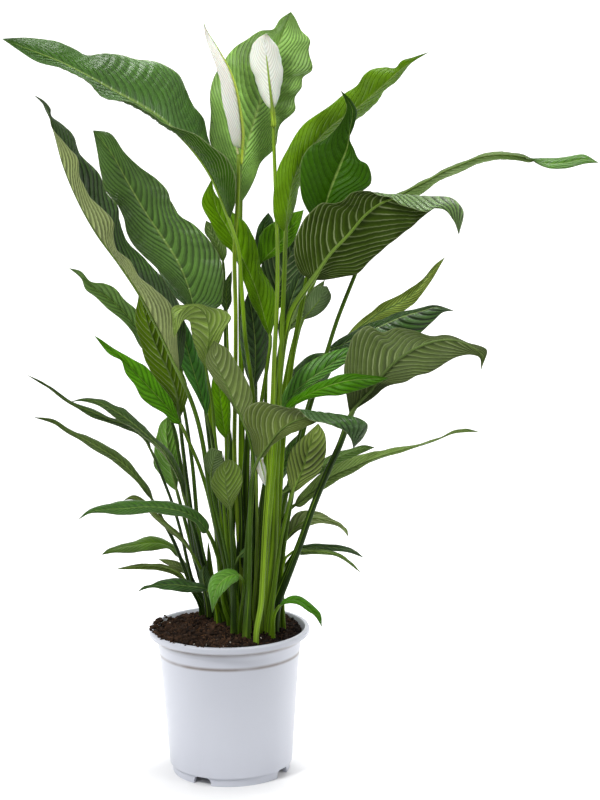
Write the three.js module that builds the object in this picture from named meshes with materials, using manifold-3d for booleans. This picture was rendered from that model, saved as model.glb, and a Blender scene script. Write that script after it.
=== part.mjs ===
// Peace lily in a white plastic nursery pot: pot, soil, leaves on their stalks, flower stalks,
// spathes and spadices. Millimetres, +Z up, origin at the centre of the pot's underside.
import * as THREE from 'three';
import { mergeVertices } from 'three/addons/utils/BufferGeometryUtils.js';
import Module from 'manifold-3d';

const wasm = await Module();
wasm.setup();

// Pot
const POT_SIDES = 32;
const POT_PROFILE = [ // radius, height: closed ring from the underside, up the outside and down the inside
  [0, 0], [22, 0], [27, 10], [70, 10], [72.5, 0], [77, 0], [77, 11.5], [80.4, 11.5], [91.5, 159], [90.9, 160.5],
  [92.4, 162], [93.6, 172], [96.5, 182.5], [102, 182.5], [105, 184.5], [105, 190.5], [103, 192], [99, 192],
  [97.5, 189], [94.2, 182], [78, 13], [0, 13],
];
const NOTCH_WIDTH = 25;
const NOTCH_HEIGHT = 10;
const NOTCH_FIRST_ANGLE = -117.6;
const NOTCH_RING_RADIUS = 75;
const NOTCH_DEPTH = 14;

// Soil
const SOIL_BOTTOM = 13.3;
const SOIL_GAP = 0.3;
const SOIL_RINGS = [0, 22, 44, 64, 80, 91];
const SOIL_SIDES = 24;
const SOIL_EDGE_HEIGHT = 185;
const SOIL_MOUND = 7;
const SOIL_LUMP = 1.6;
const HEAP = { x: 66, y: 58, radius: 26, height: 5 };

// Stalks and leaves
const ROOT_Z = 168;
const COLLAR_Z = 203;
const HOLE_GAP = 0.35;
const BLADE_THICKNESS = 0.8;
const RIB_SHARE = 0.55;
const RIB_TIP = 0.15;
const LEAD = 0.12;
const STALK_STEP = 115; // longest straight run of a stalk
const LARGE_HALF_WIDTH = 15;
const FOLD_LIMIT = 0.5;
const EYE_X = 95; // the readings are taken in the plane y = 0, seen from this point
const EYE_Z = 900;
const EYE_DISTANCE = 2500;

// Leaves: readings [x, height, depth] of the stalk and midrib; [x, height, depth from the midrib] of both edges.
// "left" is the left-hand edge from base to tip. face 1 turns the upper face to the front, -1 the underside.
const LEAVES = [
  { "name": "leaf_high_left", "shoot": "", "face": 1, "root": [28, -14], "radius": [5.0, 3.2], "sag": [12, -3], "wave": 1.5,
    "stem": [[30, 330, -14], [36, 420, -10], [35, 503, -4], [27, 568, 0], [23, 630, 3], [18, 692, 4]],
    "mid": [[8, 722, 4], [-4, 756, 2], [-14, 778, 0], [-31, 804, -4], [-52, 828, -8], [-75, 849, -12],
      [-104, 868, -18], [-133, 884, -24], [-160, 900, -30], [-200, 921, -40], [-240, 937, -50], [-273, 950, -60]],
    "left": [[13, 737, -14], [17, 755, -24], [16, 776, -28], [7, 796, -30], [-12, 815, -30], [-34, 830, -28],
      [-61, 838, -26], [-89, 857, -24], [-121, 871, -22], [-151, 879, -20], [-168, 896, -16], [-200, 914, -12],
      [-226, 919, -10], [-252, 936, -5]],
    "right": [[8, 745, 10], [2, 775, 20], [-12, 808, 26], [-22, 845, 28], [-39, 872, 30], [-51, 902, 32],
      [-74, 917, 32], [-109, 925, 30], [-135, 930, 28], [-165, 930, 22], [-205, 946, 14], [-238, 951, 6]] },
  { "name": "leaf_high_back", "shoot": "", "face": 1, "root": [14, 56], "radius": [5.0, 3.0], "sag": [-3, -3], "wave": 3,
    "stem": [[18, 330, 58], [20, 500, 58], [21, 650, 58]],
    "mid": [[22, 742, 58], [25, 788, 60], [39, 840, 66], [50, 874, 70], [61, 908, 75], [73, 942, 80], [88, 980, 86]],
    "left": [[12, 752, -4], [-2, 780, -8], [-15, 819, -10], [-14, 856, -10], [-15, 873, -12], [-6, 906, -10], [3, 919, -10],
      [14, 934, -8], [32, 946, -10], [50, 957, -6], [66, 959, -8], [75, 971, -4]],
    "right": [[32, 758, -6], [42, 776, -10], [49, 794, -8], [66, 813, -12], [74, 840, -8], [92, 861, -12], [92, 874, -6],
      [101, 886, -10], [102, 899, -6], [113, 908, -10], [110, 934, -4], [112, 943, -8], [100, 958, -6], [93, 973, -4]] },
  { "name": "leaf_high_right", "shoot": "", "face": 1, "root": [44, -32], "radius": [4.0, 3.0], "sag": [-4, 0], "wave": 2,
    "stem": [[50, 300, -34], [60, 400, -36], [66, 470, -38], [71, 540, -36], [74, 600, -27], [77, 655, -21]],
    "mid": [[79, 704, -14], [83, 742, -11], [93, 780, -6], [110, 808, 2], [135, 836, 14], [170, 861, 28],
      [200, 886, 40], [222, 906, 48], [259, 929, 58]],
    "left": [[67, 718, -6], [63, 740, -8], [64, 762, -8], [68, 780, -8], [81, 809, -8], [92, 828, -6], [107, 845, -6],
      [130, 860, -4], [143, 870, -2], [157, 881, 2], [170, 889, 4], [178, 901, 2], [187, 908, 0], [205, 911, 2],
      [219, 910, 4], [224, 917, 2], [240, 923, 0]],
    "right": [[90, 738, 14], [102, 772, 24], [122, 800, 30], [148, 826, 30], [178, 853, 26], [206, 881, 20],
      [228, 905, 12], [246, 921, 5]] },
  { "name": "leaf_dark_right", "shoot": "", "face": 1, "root": [54, -4], "radius": [4.2, 2.8], "sag": [-4, -4], "wave": 1.5,
    "stem": [[62, 300, 0], [74, 450, 6], [88, 560, 6], [104, 640, -2], [115, 690, -7]],
    "mid": [[122, 712, -8], [130, 742, -8], [139, 768, -8], [149, 791, -8], [157, 810, -8], [161, 835, -10],
      [164, 857, -14], [149, 883, -24]],
    "left": [[111, 726, -4], [101, 745, -6], [97, 768, -8], [98, 790, -8], [104, 806, -8], [112, 815, -6], [128, 822, -6],
      [140, 832, -6], [149, 844, -4], [157, 862, -2]],
    "right": [[146, 724, -4], [170, 752, -8], [187, 768, -8], [187, 779, -8], [182, 791, -8], [173, 796, -6],
      [165, 810, -4], [160, 821, 0], [165, 839, 4], [170, 857, 5], [162, 871, 2]] },
  { "name": "leaf_broad_right", "shoot": "", "face": -1, "root": [47, -17], "radius": [5.2, 3.8], "sag": [4, 4], "wave": 2,
    "stem": [[58, 300, -16], [62, 380, -17], [66, 450, -18], [70, 530, -20], [77, 575, -22], [85, 604, -24]],
    "mid": [[112, 645, -28], [135, 678, -33], [160, 704, -40], [182, 729, -50], [209, 746, -62], [235, 750, -75],
      [265, 750, -90], [290, 747, -104], [303, 733, -112], [298, 701, -118]],
    "left": [[97, 654, 4], [90, 672, 8], [90, 693, 8], [99, 717, 8], [112, 733, 6], [124, 742, 4], [140, 741, 6],
      [151, 745, 2], [163, 756, 4], [180, 757, 2], [195, 751, -2], [210, 749, -10], [224, 741, -18], [240, 733, -24],
      [256, 730, -24], [268, 735, -18], [281, 732, -14], [290, 720, -8]],
    "right": [[129, 645, 5], [148, 648, 6], [168, 652, 6], [183, 666, 8], [201, 682, 6], [219, 697, 8], [236, 709, 8],
      [250, 722, 10], [262, 731, 12], [276, 739, 14], [292, 740, 12], [301, 727, 6]] },
  { "name": "leaf_far_right", "shoot": "", "face": -1, "root": [62, -12], "radius": [3.6, 2.6], "sag": [2, 2], "wave": 1,
    "stem": [[72, 300, -2], [84, 370, 3], [97, 440, 8], [120, 520, 13], [131, 555, 14], [144, 595, 14], [155, 623, 13],
      [166, 650, 12], [188, 705, 12]],
    "mid": [[207, 737, 12], [228, 753, 10], [258, 768, 7], [280, 780, 5], [300, 788, 3], [320, 796, 1], [340, 800, -1],
      [360, 800, -3], [380, 797, -5], [392, 793, -6], [410, 789, -8], [430, 790, -9], [455, 794, -10], [474, 790, -11]],
    "left": [[214, 750, 9], [232, 758, 11], [251, 770, 12], [270, 778, 13], [296, 791, 12], [325, 801, 10], [350, 805, 8],
      [372, 803, 5], [388, 796, 2], [396, 790, -4], [410, 783, -9], [430, 783, -9], [452, 788, -6]],
    "right": [[228, 742, -7], [249, 752, -10], [271, 767, -12], [303, 782, -12], [325, 790, -10], [350, 796, -8],
      [372, 793, -5], [388, 791, -2], [396, 795, 4], [410, 796, 9], [432, 798, 9], [455, 800, 6]] },
  { "name": "leaf_bright_right", "shoot": "", "face": -1, "root": [46, 22], "radius": [3.0, 2.2], "sag": [2, 2], "wave": 1,
    "stem": [[62, 300, 30], [84, 400, 36], [104, 480, 40], [130, 545, 42]],
    "mid": [[150, 566, 42], [175, 586, 41], [197, 602, 40], [221, 614, 38], [243, 629, 36], [259, 649, 34], [281, 673, 30]],
    "left": [[158, 577, 2], [172, 592, 4], [188, 605, 4], [203, 616, 4], [214, 621, 4], [234, 632, 4], [250, 643, 3],
      [257, 651, 2], [270, 665, 1]],
    "right": [[168, 576, 2], [191, 588, 4], [209, 597, 4], [233, 607, 4], [243, 616, 3], [257, 633, 2], [270, 654, 1]] },
  { "name": "leaf_ribbed_left", "shoot": "", "face": 1, "root": [-8, 36], "radius": [4.6, 3.2], "sag": [-4, -5], "wave": 1.5,
    "stem": [[-6, 340, 32], [-16, 430, 28], [-24, 510, 24], [-31, 570, 20]],
    "mid": [[-38, 606, 18], [-46, 637, 18], [-58, 668, 18], [-79, 703, 20], [-101, 737, 22], [-121, 773, 25],
      [-138, 805, 28], [-162, 836, 32]],
    "left": [[-49, 619, -3], [-61, 632, -6], [-74, 648, -8], [-88, 664, -8], [-101, 677, -8], [-116, 693, -10], [-122, 706, -10],
      [-126, 726, -8], [-132, 739, -10], [-148, 761, -8], [-154, 785, -8], [-158, 815, -4]],
    "right": [[-22, 606, -2], [-6, 613, -4], [-1, 635, -8], [-1, 655, -10], [-7, 679, -8], [-22, 702, -10], [-38, 717, -8],
      [-54, 727, -10], [-64, 742, -8], [-70, 760, -8], [-80, 771, -8], [-105, 791, -6], [-123, 808, -6], [-142, 833, -2]] },
  { "name": "leaf_twisted_left", "shoot": "", "face": 1, "root": [6, 0], "radius": [5.0, 3.4], "sag": [3, -2], "wave": 1,
    "stem": [[-8, 300, -10], [-17, 340, -12], [-24, 390, -15], [-29, 430, -20], [-36, 465, -26], [-46, 497, -32]],
    "mid": [[-59, 527, -36], [-70, 553, -37], [-88, 592, -38], [-106, 627, -40], [-131, 666, -42], [-162, 710, -44],
      [-185, 754, -46], [-200, 793, -48], [-210, 832, -50], [-216, 855, -52], [-223, 868, -54], [-234, 880, -58]],
    "left": [[-60, 548, -6], [-61, 572, -10], [-62, 598, -12], [-70, 617, -14], [-90, 637, -16], [-106, 648, -16], [-117, 668, -14],
      [-135, 688, -16], [-140, 704, -14], [-139, 720, -16], [-153, 739, -16], [-170, 755, -14], [-179, 776, -14],
      [-183, 803, -12], [-200, 822, -8], [-212, 838, -4], [-217, 853, 2], [-220, 860, 3], [-227, 875, 1]],
    "right": [[-53, 550, 8], [-50, 580, 12], [-54, 606, 16], [-64, 628, 18], [-79, 649, 18], [-92, 665, 20], [-106, 680, 20],
      [-124, 699, 20], [-131, 723, 22], [-132, 738, 20], [-148, 760, 22], [-158, 786, 20], [-179, 806, 18], [-187, 830, 16],
      [-201, 845, 10], [-214, 855, 2], [-214, 863, -3], [-221, 872, -2]] },
  { "name": "leaf_small_left", "shoot": "", "face": 1, "root": [-20, 52], "radius": [2.8, 2.0], "sag": [-2, -2], "wave": 1,
    "stem": [[-34, 250, 46], [-44, 300, 42], [-52, 350, 38], [-59, 405, 34], [-66, 445, 31], [-76, 490, 29]],
    "mid": [[-95, 548, 27], [-104, 570, 26], [-117, 592, 24], [-131, 609, 22], [-148, 624, 20], [-165, 637, 18],
      [-180, 651, 16], [-197, 663, 14]],
    "left": [[-108, 561, -3], [-118, 579, -5], [-130, 595, -6], [-149, 610, -6], [-163, 625, -5], [-177, 636, -3], [-181, 648, -1]],
    "right": [[-97, 573, -3], [-104, 592, -5], [-114, 611, -6], [-127, 622, -6], [-141, 638, -6], [-151, 643, -5], [-171, 646, -3],
      [-182, 659, -1]] },
  { "name": "leaf_olive_left", "shoot": "", "face": -1, "root": [-26, 28], "radius": [3.6, 2.4], "sag": [2, 2], "wave": 1.5,
    "stem": [[-36, 270, 26], [-44, 320, 20], [-52, 385, 12], [-57, 435, 7]],
    "mid": [[-60, 467, 2], [-64, 503, 0], [-73, 529, -1], [-84, 552, -2], [-93, 575, -3], [-101, 602, -4], [-108, 640, -6]],
    "left": [[-67, 480, 3], [-79, 500, 5], [-90, 519, 6], [-100, 537, 6], [-105, 552, 6], [-108, 568, 5], [-114, 586, 4],
      [-113, 606, 3], [-110, 624, 2]],
    "right": [[-54, 480, 3], [-49, 495, 5], [-51, 517, 6], [-62, 547, 6], [-72, 576, 5], [-83, 602, 4], [-97, 626, 2]] },
  { "name": "leaf_bright_left", "shoot": "", "face": 1, "root": [-4, 22], "radius": [3.2, 2.2], "sag": [-2, -2], "wave": 2,
    "stem": [[-7, 270, 16], [-17, 330, 10], [-28, 380, 4], [-38, 412, -3], [-48, 436, -9]],
    "mid": [[-58, 459, -14], [-73, 480, -16], [-95, 505, -18], [-117, 529, -20], [-139, 551, -22], [-167, 576, -26]],
    "left": [[-70, 463, -3], [-80, 474, -5], [-95, 484, -6], [-110, 497, -6], [-118, 514, -6], [-129, 530, -5], [-134, 542, -4],
      [-150, 554, -2]],
    "right": [[-61, 471, -2], [-67, 486, -4], [-77, 504, -5], [-91, 522, -5], [-106, 539, -5], [-118, 546, -4], [-135, 554, -3],
      [-150, 566, -2]] },
  { "name": "leaf_thin_left", "shoot": "", "face": 1, "root": [-28, 40], "radius": [2.8, 2.0], "sag": [2, -1], "wave": 1,
    "stem": [[-46, 250, 34], [-53, 279, 30], [-60, 315, 24], [-71, 356, 14], [-83, 390, 8]],
    "mid": [[-97, 426, 4], [-108, 447, 3], [-124, 459, 2], [-148, 467, 0], [-170, 477, -3], [-190, 485, -6], [-214, 500, -10],
      [-235, 517, -14], [-254, 526, -18]],
    "left": [[-103, 436, -4], [-116, 449, -6], [-133, 456, -7], [-155, 464, -7], [-177, 473, -5], [-196, 485, -3], [-224, 506, -2]],
    "right": [[-101, 443, 4], [-112, 457, 6], [-130, 466, 7], [-148, 470, 6], [-162, 477, 6], [-180, 484, 4], [-205, 496, 2],
      [-226, 512, 1]] },
  { "name": "leaf_arched_left", "shoot": "", "face": 1, "root": [-16, 26], "radius": [3.8, 2.4], "sag": [3, -1], "wave": 1,
    "stem": [[-27, 255, 14], [-34, 280, 9], [-42, 318, 3], [-50, 345, -3]],
    "mid": [[-55, 362, -8], [-61, 388, -12], [-72, 412, -15], [-85, 430, -17], [-104, 448, -20], [-125, 466, -22],
      [-148, 482, -24], [-170, 492, -27], [-187, 494, -30], [-201, 490, -34]],
    "left": [[-61, 380, -4], [-69, 402, -7], [-80, 420, -9], [-95, 436, -10], [-114, 452, -10], [-134, 463, -9], [-150, 476, -7],
      [-171, 488, -4], [-188, 492, -2]],
    "right": [[-55, 384, 4], [-62, 405, 7], [-74, 425, 9], [-90, 442, 10], [-104, 456, 10], [-119, 470, 10], [-130, 482, 9],
      [-142, 485, 8], [-158, 493, 6], [-178, 496, 3]] },
  { "name": "leaf_low_left", "shoot": "", "face": 1, "root": [-38, 50], "radius": [3.2, 2.2], "sag": [2, -1], "wave": 1,
    "stem": [[-50, 250, 42], [-60, 278, 37], [-71, 308, 31], [-82, 330, 25]],
    "mid": [[-95, 358, 18], [-105, 376, 14], [-119, 394, 10], [-137, 412, 5], [-160, 428, 0], [-190, 446, -6],
      [-210, 457, -10], [-228, 469, -14], [-247, 471, -18]],
    "left": [[-104, 368, -4], [-119, 387, -7], [-136, 404, -8], [-157, 419, -8], [-178, 433, -6], [-200, 447, -4], [-220, 461, -2]],
    "right": [[-99, 373, 4], [-112, 393, 6], [-122, 408, 8], [-134, 419, 8], [-156, 435, 7], [-180, 446, 6], [-204, 457, 3],
      [-224, 469, 1]] },
  { "name": "leaf_behind_left", "shoot": "", "face": -1, "root": [-20, 70], "radius": [3.2, 2.2], "sag": [2, 2], "wave": 1,
    "stem": [[-40, 270, 72], [-51, 315, 68], [-60, 352, 62]],
    "mid": [[-65, 372, 58], [-71, 398, 54], [-75, 428, 50], [-77, 452, 46], [-76, 470, 42]],
    "left": [[-75, 380, 2], [-86, 393, 3], [-94, 408, 4], [-94, 424, 4], [-90, 446, 3], [-84, 463, 2]],
    "right": [[-63, 388, 2], [-61, 410, 3], [-61, 432, 3], [-64, 452, 2], [-70, 465, 1]] },
  { "name": "leaf_broad_low_left", "shoot": "", "face": 1, "root": [2, -12], "radius": [3.8, 2.6], "sag": [-2, -3], "wave": 1,
    "stem": [[-4, 215, -14], [-9, 245, -17], [-11, 275, -22], [-18, 300, -28]],
    "mid": [[-26, 318, -34], [-38, 333, -40], [-56, 344, -47], [-80, 350, -56], [-107, 352, -67], [-134, 350, -79],
      [-158, 349, -91], [-177, 346, -101], [-194, 336, -110]],
    "left": [[-31, 316, -4], [-41, 329, -8], [-58, 338, -10], [-83, 342, -12], [-110, 344, -12], [-126, 342, -11], [-140, 341, -9],
      [-160, 345, -6], [-180, 343, -3]],
    "right": [[-24, 325, 3], [-33, 340, 7], [-48, 351, 9], [-66, 357, 11], [-91, 360, 12], [-118, 361, 11], [-145, 359, 9],
      [-166, 354, 6], [-184, 346, 2]] },
  { "name": "leaf_slim_left", "shoot": "", "face": -1, "root": [-7, 8], "radius": [2.6, 1.8], "sag": [1, 1], "wave": 0.5,
    "stem": [[-22, 235, 4], [-33, 262, 3]],
    "mid": [[-46, 288, -1], [-60, 309, -7], [-74, 323, -14], [-88, 335, -17], [-101, 347, -20], [-112, 360, -23],
      [-123, 365, -26], [-135, 361, -30]],
    "left": [[-54, 297, 2], [-68, 312, 4], [-82, 324, 5], [-96, 338, 4], [-110, 355, 2], [-123, 362, 1]],
    "right": [[-50, 299, 2], [-64, 318, 4], [-79, 332, 5], [-93, 345, 4], [-107, 361, 2], [-122, 368, 1]] },
  { "name": "leaf_curved_low_left", "shoot": "", "face": 1, "root": [-30, 61], "radius": [2.8, 2.0], "sag": [-2, -2], "wave": 1,
    "stem": [[-40, 240, 58], [-50, 262, 54]],
    "mid": [[-61, 283, 50], [-73, 297, 46], [-86, 303, 42], [-103, 304, 36], [-122, 301, 29], [-141, 298, 22],
      [-155, 294, 17], [-165, 289, 13]],
    "left": [[-67, 286, -4], [-79, 296, -8], [-93, 295, -10], [-106, 293, -11], [-120, 292, -10], [-136, 291, -7], [-152, 291, -3]],
    "right": [[-64, 293, 3], [-73, 303, 6], [-84, 310, 8], [-98, 313, 9], [-112, 311, 8], [-128, 305, 6], [-144, 301, 4],
      [-156, 297, 1]] },
  { "name": "leaf_thin_low_left", "shoot": "shoot_low_left", "face": -1, "root": [-40, 64], "radius": [2.6, 1.6],
    "sag": [1, 1], "wave": 0.5,
    "stem": [[-45, 235, 62]],
    "mid": [[-55, 252, 60], [-64, 262, 56], [-75, 268, 52], [-88, 272, 47], [-104, 273, 41], [-122, 272, 34], [-146, 270, 26]],
    "left": [[-63, 256, -2], [-75, 263, -4], [-90, 267, -5], [-108, 269, -5], [-126, 269, -3]],
    "right": [[-60, 262, 2], [-72, 271, 4], [-88, 276, 5], [-106, 277, 5], [-126, 275, 3]] },
  { "name": "leaf_pale_low_left", "shoot": "shoot_low_left", "face": -1, "root": [-40, 64], "radius": [2.6, 1.6],
    "sag": [1, 1], "wave": 0.5,
    "stem": [[-45, 236, 65], [-50, 252, 70]],
    "mid": [[-55, 262, 74], [-62, 270, 76], [-71, 275, 78], [-81, 279, 80], [-92, 283, 82]],
    "left": [[-63, 265, 1], [-72, 270, 2], [-80, 275, 1]],
    "right": [[-57, 271, 1], [-65, 279, 2], [-76, 282, 1]] },
  { "name": "leaf_soil_left", "shoot": "shoot_soil_left", "face": 1, "root": [-13, -7], "radius": [3.0, 2.0],
    "sag": [-2, -2], "wave": 1,
    "stem": [[-17, 222, -9], [-20, 233, -11]],
    "mid": [[-26, 240, -13], [-37, 244, -15], [-53, 246, -16], [-70, 248, -20], [-86, 248, -23], [-99, 247, -26],
      [-109, 245, -28], [-119, 239, -31]],
    "left": [[-36, 238, -4], [-52, 238, -7], [-69, 239, -8], [-83, 242, -6], [-96, 244, -3], [-108, 243, -1]],
    "right": [[-33, 249, 3], [-46, 252, 6], [-62, 256, 8], [-77, 257, 7], [-89, 254, 4], [-100, 249, 2], [-110, 247, 1]] },
  { "name": "leaf_soil_left_upright", "shoot": "shoot_soil_left", "face": -1, "root": [-13, -7], "radius": [3.0, 2.0],
    "sag": [1, 1], "wave": 0.5,
    "stem": [[-19, 222, -5]],
    "mid": [[-26, 234, -6], [-30, 244, -7], [-33, 256, -8], [-33, 266, -9], [-31, 274, -10]],
    "left": [[-33, 243, 1], [-38, 253, 2], [-38, 264, 1]],
    "right": [[-24, 245, 1], [-24, 257, 2], [-27, 268, 1]] },
  { "name": "leaf_front_drooping", "shoot": "", "face": 1, "root": [15, -44], "radius": [2.6, 1.8], "sag": [-3, -3], "wave": 0.5,
    "stem": [[16, 215, -46], [19, 238, -52], [19, 253, -58]],
    "mid": [[14, 260, -63], [4, 260, -69], [-6, 255, -75], [-14, 246, -80], [-19, 234, -84], [-22, 210, -86]],
    "left": [[13, 254, -2], [4, 248, -4], [-4, 240, -5], [-13, 230, -4], [-19, 218, -2]],
    "right": [[10, 266, 4], [-2, 269, 7], [-14, 265, 8], [-23, 257, 7], [-27, 245, 5], [-25, 228, 2]] },
  { "name": "leaf_right_rim", "shoot": "", "face": 1, "root": [58, -53], "radius": [2.4, 1.8], "sag": [-2, -2], "wave": 0.5,
    "stem": [[58, 203, -53]],
    "mid": [[65, 218, -52], [76, 225, -51], [88, 226, -50], [98, 220, -49], [108, 211, -48], [118, 202, -47], [121, 189, -46]],
    "left": [[69, 224, 4], [78, 231, 7], [90, 232, 8], [100, 227, 7], [112, 217, 4], [120, 206, 2]],
    "right": [[73, 221, -4], [84, 221, -7], [94, 218, -8], [104, 210, -7], [112, 204, -4]] },
  { "name": "leaf_dark_low_right", "shoot": "", "face": 1, "root": [62, 12], "radius": [2.6, 1.8], "sag": [-2, -2], "wave": 0.5,
    "stem": [[66, 250, 10], [74, 272, 8], [82, 284, 6]],
    "mid": [[88, 292, 4], [102, 296, 1], [122, 297, -2], [146, 295, -5], [165, 291, -8], [176, 282, -10]],
    "left": [[92, 297, 3], [106, 301, 5], [124, 301, 5], [145, 299, 3], [160, 295, 1]],
    "right": [[96, 291, -3], [114, 291, -4], [134, 291, -3], [152, 290, -2]] },
  { "name": "leaf_slim_low_right", "shoot": "", "face": -1, "root": [70, -14], "radius": [2.4, 1.6], "sag": [1, 1], "wave": 0.5,
    "stem": [[70, 235, -15], [70, 262, -16], [74, 282, -17]],
    "mid": [[84, 291, -18], [98, 291, -19], [114, 291, -20], [130, 289, -22], [146, 285, -24], [160, 276, -27], [172, 262, -30]],
    "left": [[92, 294, 3], [104, 295, 4], [118, 294, 4], [134, 292, 2], [148, 286, 1]],
    "right": [[92, 287, -2], [108, 287, -3], [124, 287, -3], [140, 284, -2]] },
  { "name": "leaf_pale_right", "shoot": "", "face": -1, "root": [56, 24], "radius": [2.8, 2.0], "sag": [2, 2], "wave": 0.8,
    "stem": [[58, 240, 24], [64, 270, 21], [70, 292, 18]],
    "mid": [[74, 303, 15], [84, 318, 11], [98, 330, 7], [112, 335, 3], [128, 332, -2], [143, 327, -7], [154, 320, -11],
      [156, 310, -14]],
    "left": [[76, 316, 4], [82, 334, 8], [92, 344, 9], [104, 346, 9], [120, 343, 8], [134, 335, 5], [148, 327, 2]],
    "right": [[82, 311, -3], [94, 320, -5], [108, 326, -6], [122, 328, -5], [138, 326, -3], [150, 318, -1]] },
  { "name": "leaf_long_right", "shoot": "", "face": -1, "root": [54, 13], "radius": [2.8, 2.0], "sag": [2, 2], "wave": 1,
    "stem": [[56, 250, 13], [61, 300, 12], [69, 328, 11], [78, 345, 10]],
    "mid": [[86, 352, 8], [100, 362, 5], [115, 373, 1], [130, 386, -3], [144, 394, -8], [160, 400, -12], [176, 407, -16],
      [200, 416, -22], [230, 425, -28], [262, 434, -34], [290, 446, -38], [306, 451, -40], [325, 447, -42]],
    "left": [[90, 362, 2], [104, 378, 4], [118, 392, 5], [136, 404, 6], [160, 414, 7], [184, 422, 8], [202, 424, 7],
      [226, 429, 6], [252, 433, 4], [274, 440, 3], [294, 450, 1]],
    "right": [[92, 350, -3], [108, 360, -6], [121, 371, -9], [142, 384, -11], [162, 394, -10], [180, 407, -7], [200, 414, -5],
      [222, 421, -4], [246, 428, -3], [270, 437, -2], [294, 445, -1]] },
  { "name": "leaf_long_right_back", "shoot": "", "face": -1, "root": [44, 34], "radius": [2.6, 1.8], "sag": [1, 1], "wave": 1,
    "stem": [[48, 260, 28], [52, 320, 23], [58, 352, 21]],
    "mid": [[66, 364, 20], [80, 373, 20], [98, 386, 19], [118, 400, 18], [140, 413, 17], [160, 422, 16], [191, 428, 14]],
    "left": [[76, 376, 4], [96, 394, 6], [118, 410, 8], [140, 421, 7], [160, 427, 5], [178, 431, 2]],
    "right": [[78, 368, -1], [98, 380, -2], [118, 393, -2], [140, 405, -2], [160, 414, -2], [178, 422, -1]] },
  { "name": "leaf_underside_right", "shoot": "", "face": -1, "root": [53, -41], "radius": [3.0, 2.2], "sag": [3, 3], "wave": 1,
    "stem": [[55, 215, -41], [59, 242, -42], [64, 275, -43], [69, 308, -44], [77, 343, -46]],
    "mid": [[84, 368, -49], [92, 386, -51], [100, 406, -53], [105, 424, -55], [112, 442, -58], [118, 460, -60]],
    "left": [[80, 378, 1], [77, 394, 2], [78, 410, 3], [82, 424, 4], [92, 436, 4], [105, 448, 3]],
    "right": [[92, 373, -3], [106, 384, -6], [118, 394, -8], [126, 412, -9], [128, 430, -7], [127, 446, -4]] },
  { "name": "leaf_arched_front", "shoot": "", "face": -1, "root": [24, -58], "radius": [3.0, 2.3], "sag": [3, 3], "wave": 2,
    "lead": 0.3,
    "stem": [[26, 240, -58], [28, 300, -60], [29, 350, -62], [32, 388, -67]],
    "mid": [[40, 412, -73], [54, 431, -80], [68, 449, -89], [84, 461, -98], [102, 468, -107], [118, 473, -114],
      [136, 473, -121], [156, 470, -127], [172, 466, -131], [182, 458, -134], [178, 445, -138], [163, 427, -142]],
    "left": [[35, 423, 0], [30, 446, 4], [22, 466, 7], [26, 480, 9], [42, 488, 10], [60, 486, 8], [80, 481, 2],
      [96, 474, -10], [110, 466, -20], [124, 459, -24], [140, 455, -22], [152, 450, -16], [159, 441, -8]],
    "right": [[48, 417, -3], [62, 434, -7], [80, 446, -11], [94, 450, -11], [106, 457, -8], [118, 462, 2], [132, 464, 12],
      [146, 463, 16], [160, 462, 16], [174, 455, 12], [177, 447, 6]] },
  { "name": "leaf_striped_front", "shoot": "", "face": -1, "root": [24, -37], "radius": [3.0, 2.2], "sag": [2, 2], "wave": 1,
    "stem": [[22, 240, -38], [25, 310, -40], [31, 370, -42], [34, 417, -43], [30, 440, -43]],
    "mid": [[20, 468, -42], [12, 484, -42], [3, 507, -41], [-6, 526, -40], [-12, 541, -40], [-14, 568, -38]],
    "left": [[12, 476, 0], [5, 490, 1], [-5, 504, 3], [-16, 519, 3], [-24, 534, 2], [-24, 549, 1]],
    "right": [[28, 475, -2], [34, 488, -4], [33, 502, -4], [25, 520, -4], [14, 540, -4], [2, 558, -3]] },
  { "name": "leaf_hooked_front", "shoot": "", "face": -1, "root": [12, -20], "radius": [2.6, 1.7], "sag": [2, 2], "wave": 0.8,
    "stem": [[5, 250, -22], [-1, 300, -23], [-7, 380, -22], [-14, 437, -22], [-18, 490, -22], [-22, 516, -23]],
    "mid": [[-25, 534, -24], [-22, 558, -30], [-20, 582, -38], [-26, 604, -47], [-38, 613, -55], [-52, 610, -61],
      [-62, 599, -65], [-65, 572, -69]],
    "left": [[-32, 544, 2], [-39, 562, 5], [-43, 580, 5], [-46, 594, 4], [-52, 595, 0], [-58, 585, -2]],
    "right": [[-16, 549, -2], [-7, 566, -3], [0, 584, -2], [8, 599, 3], [-2, 608, 6], [-18, 611, 7], [-34, 616, 6],
      [-52, 615, 4], [-66, 612, 2], [-67, 592, 1]] },
  { "name": "leaf_bright_centre", "shoot": "", "face": 1, "root": [6, 22], "radius": [2.6, 1.8], "sag": [-2, -2], "wave": 0.8,
    "stem": [[4, 300, 18], [0, 380, 13], [-1, 415, 11]],
    "mid": [[-1, 440, 10], [-4, 465, 8], [-7, 492, 6], [-9, 518, 4], [-9, 542, 2]],
    "left": [[-11, 452, -1], [-17, 472, -2], [-19, 496, -2], [-16, 524, -1]],
    "right": [[4, 454, 1], [6, 478, 2], [3, 504, 2], [-3, 528, 1]] },
  { "name": "leaf_glossy_centre", "shoot": "", "face": 1, "root": [4, 35], "radius": [2.8, 2.0], "sag": [-3, -3], "wave": 1,
    "stem": [[-1, 300, 26], [-10, 380, 16], [-19, 445, 8]],
    "mid": [[-25, 470, 5], [-31, 495, 3], [-39, 522, 1], [-46, 548, 0], [-51, 572, 1], [-52, 595, 3]],
    "left": [[-33, 488, -2], [-44, 510, -4], [-54, 530, -4], [-62, 552, -4], [-62, 574, -3]],
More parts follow.
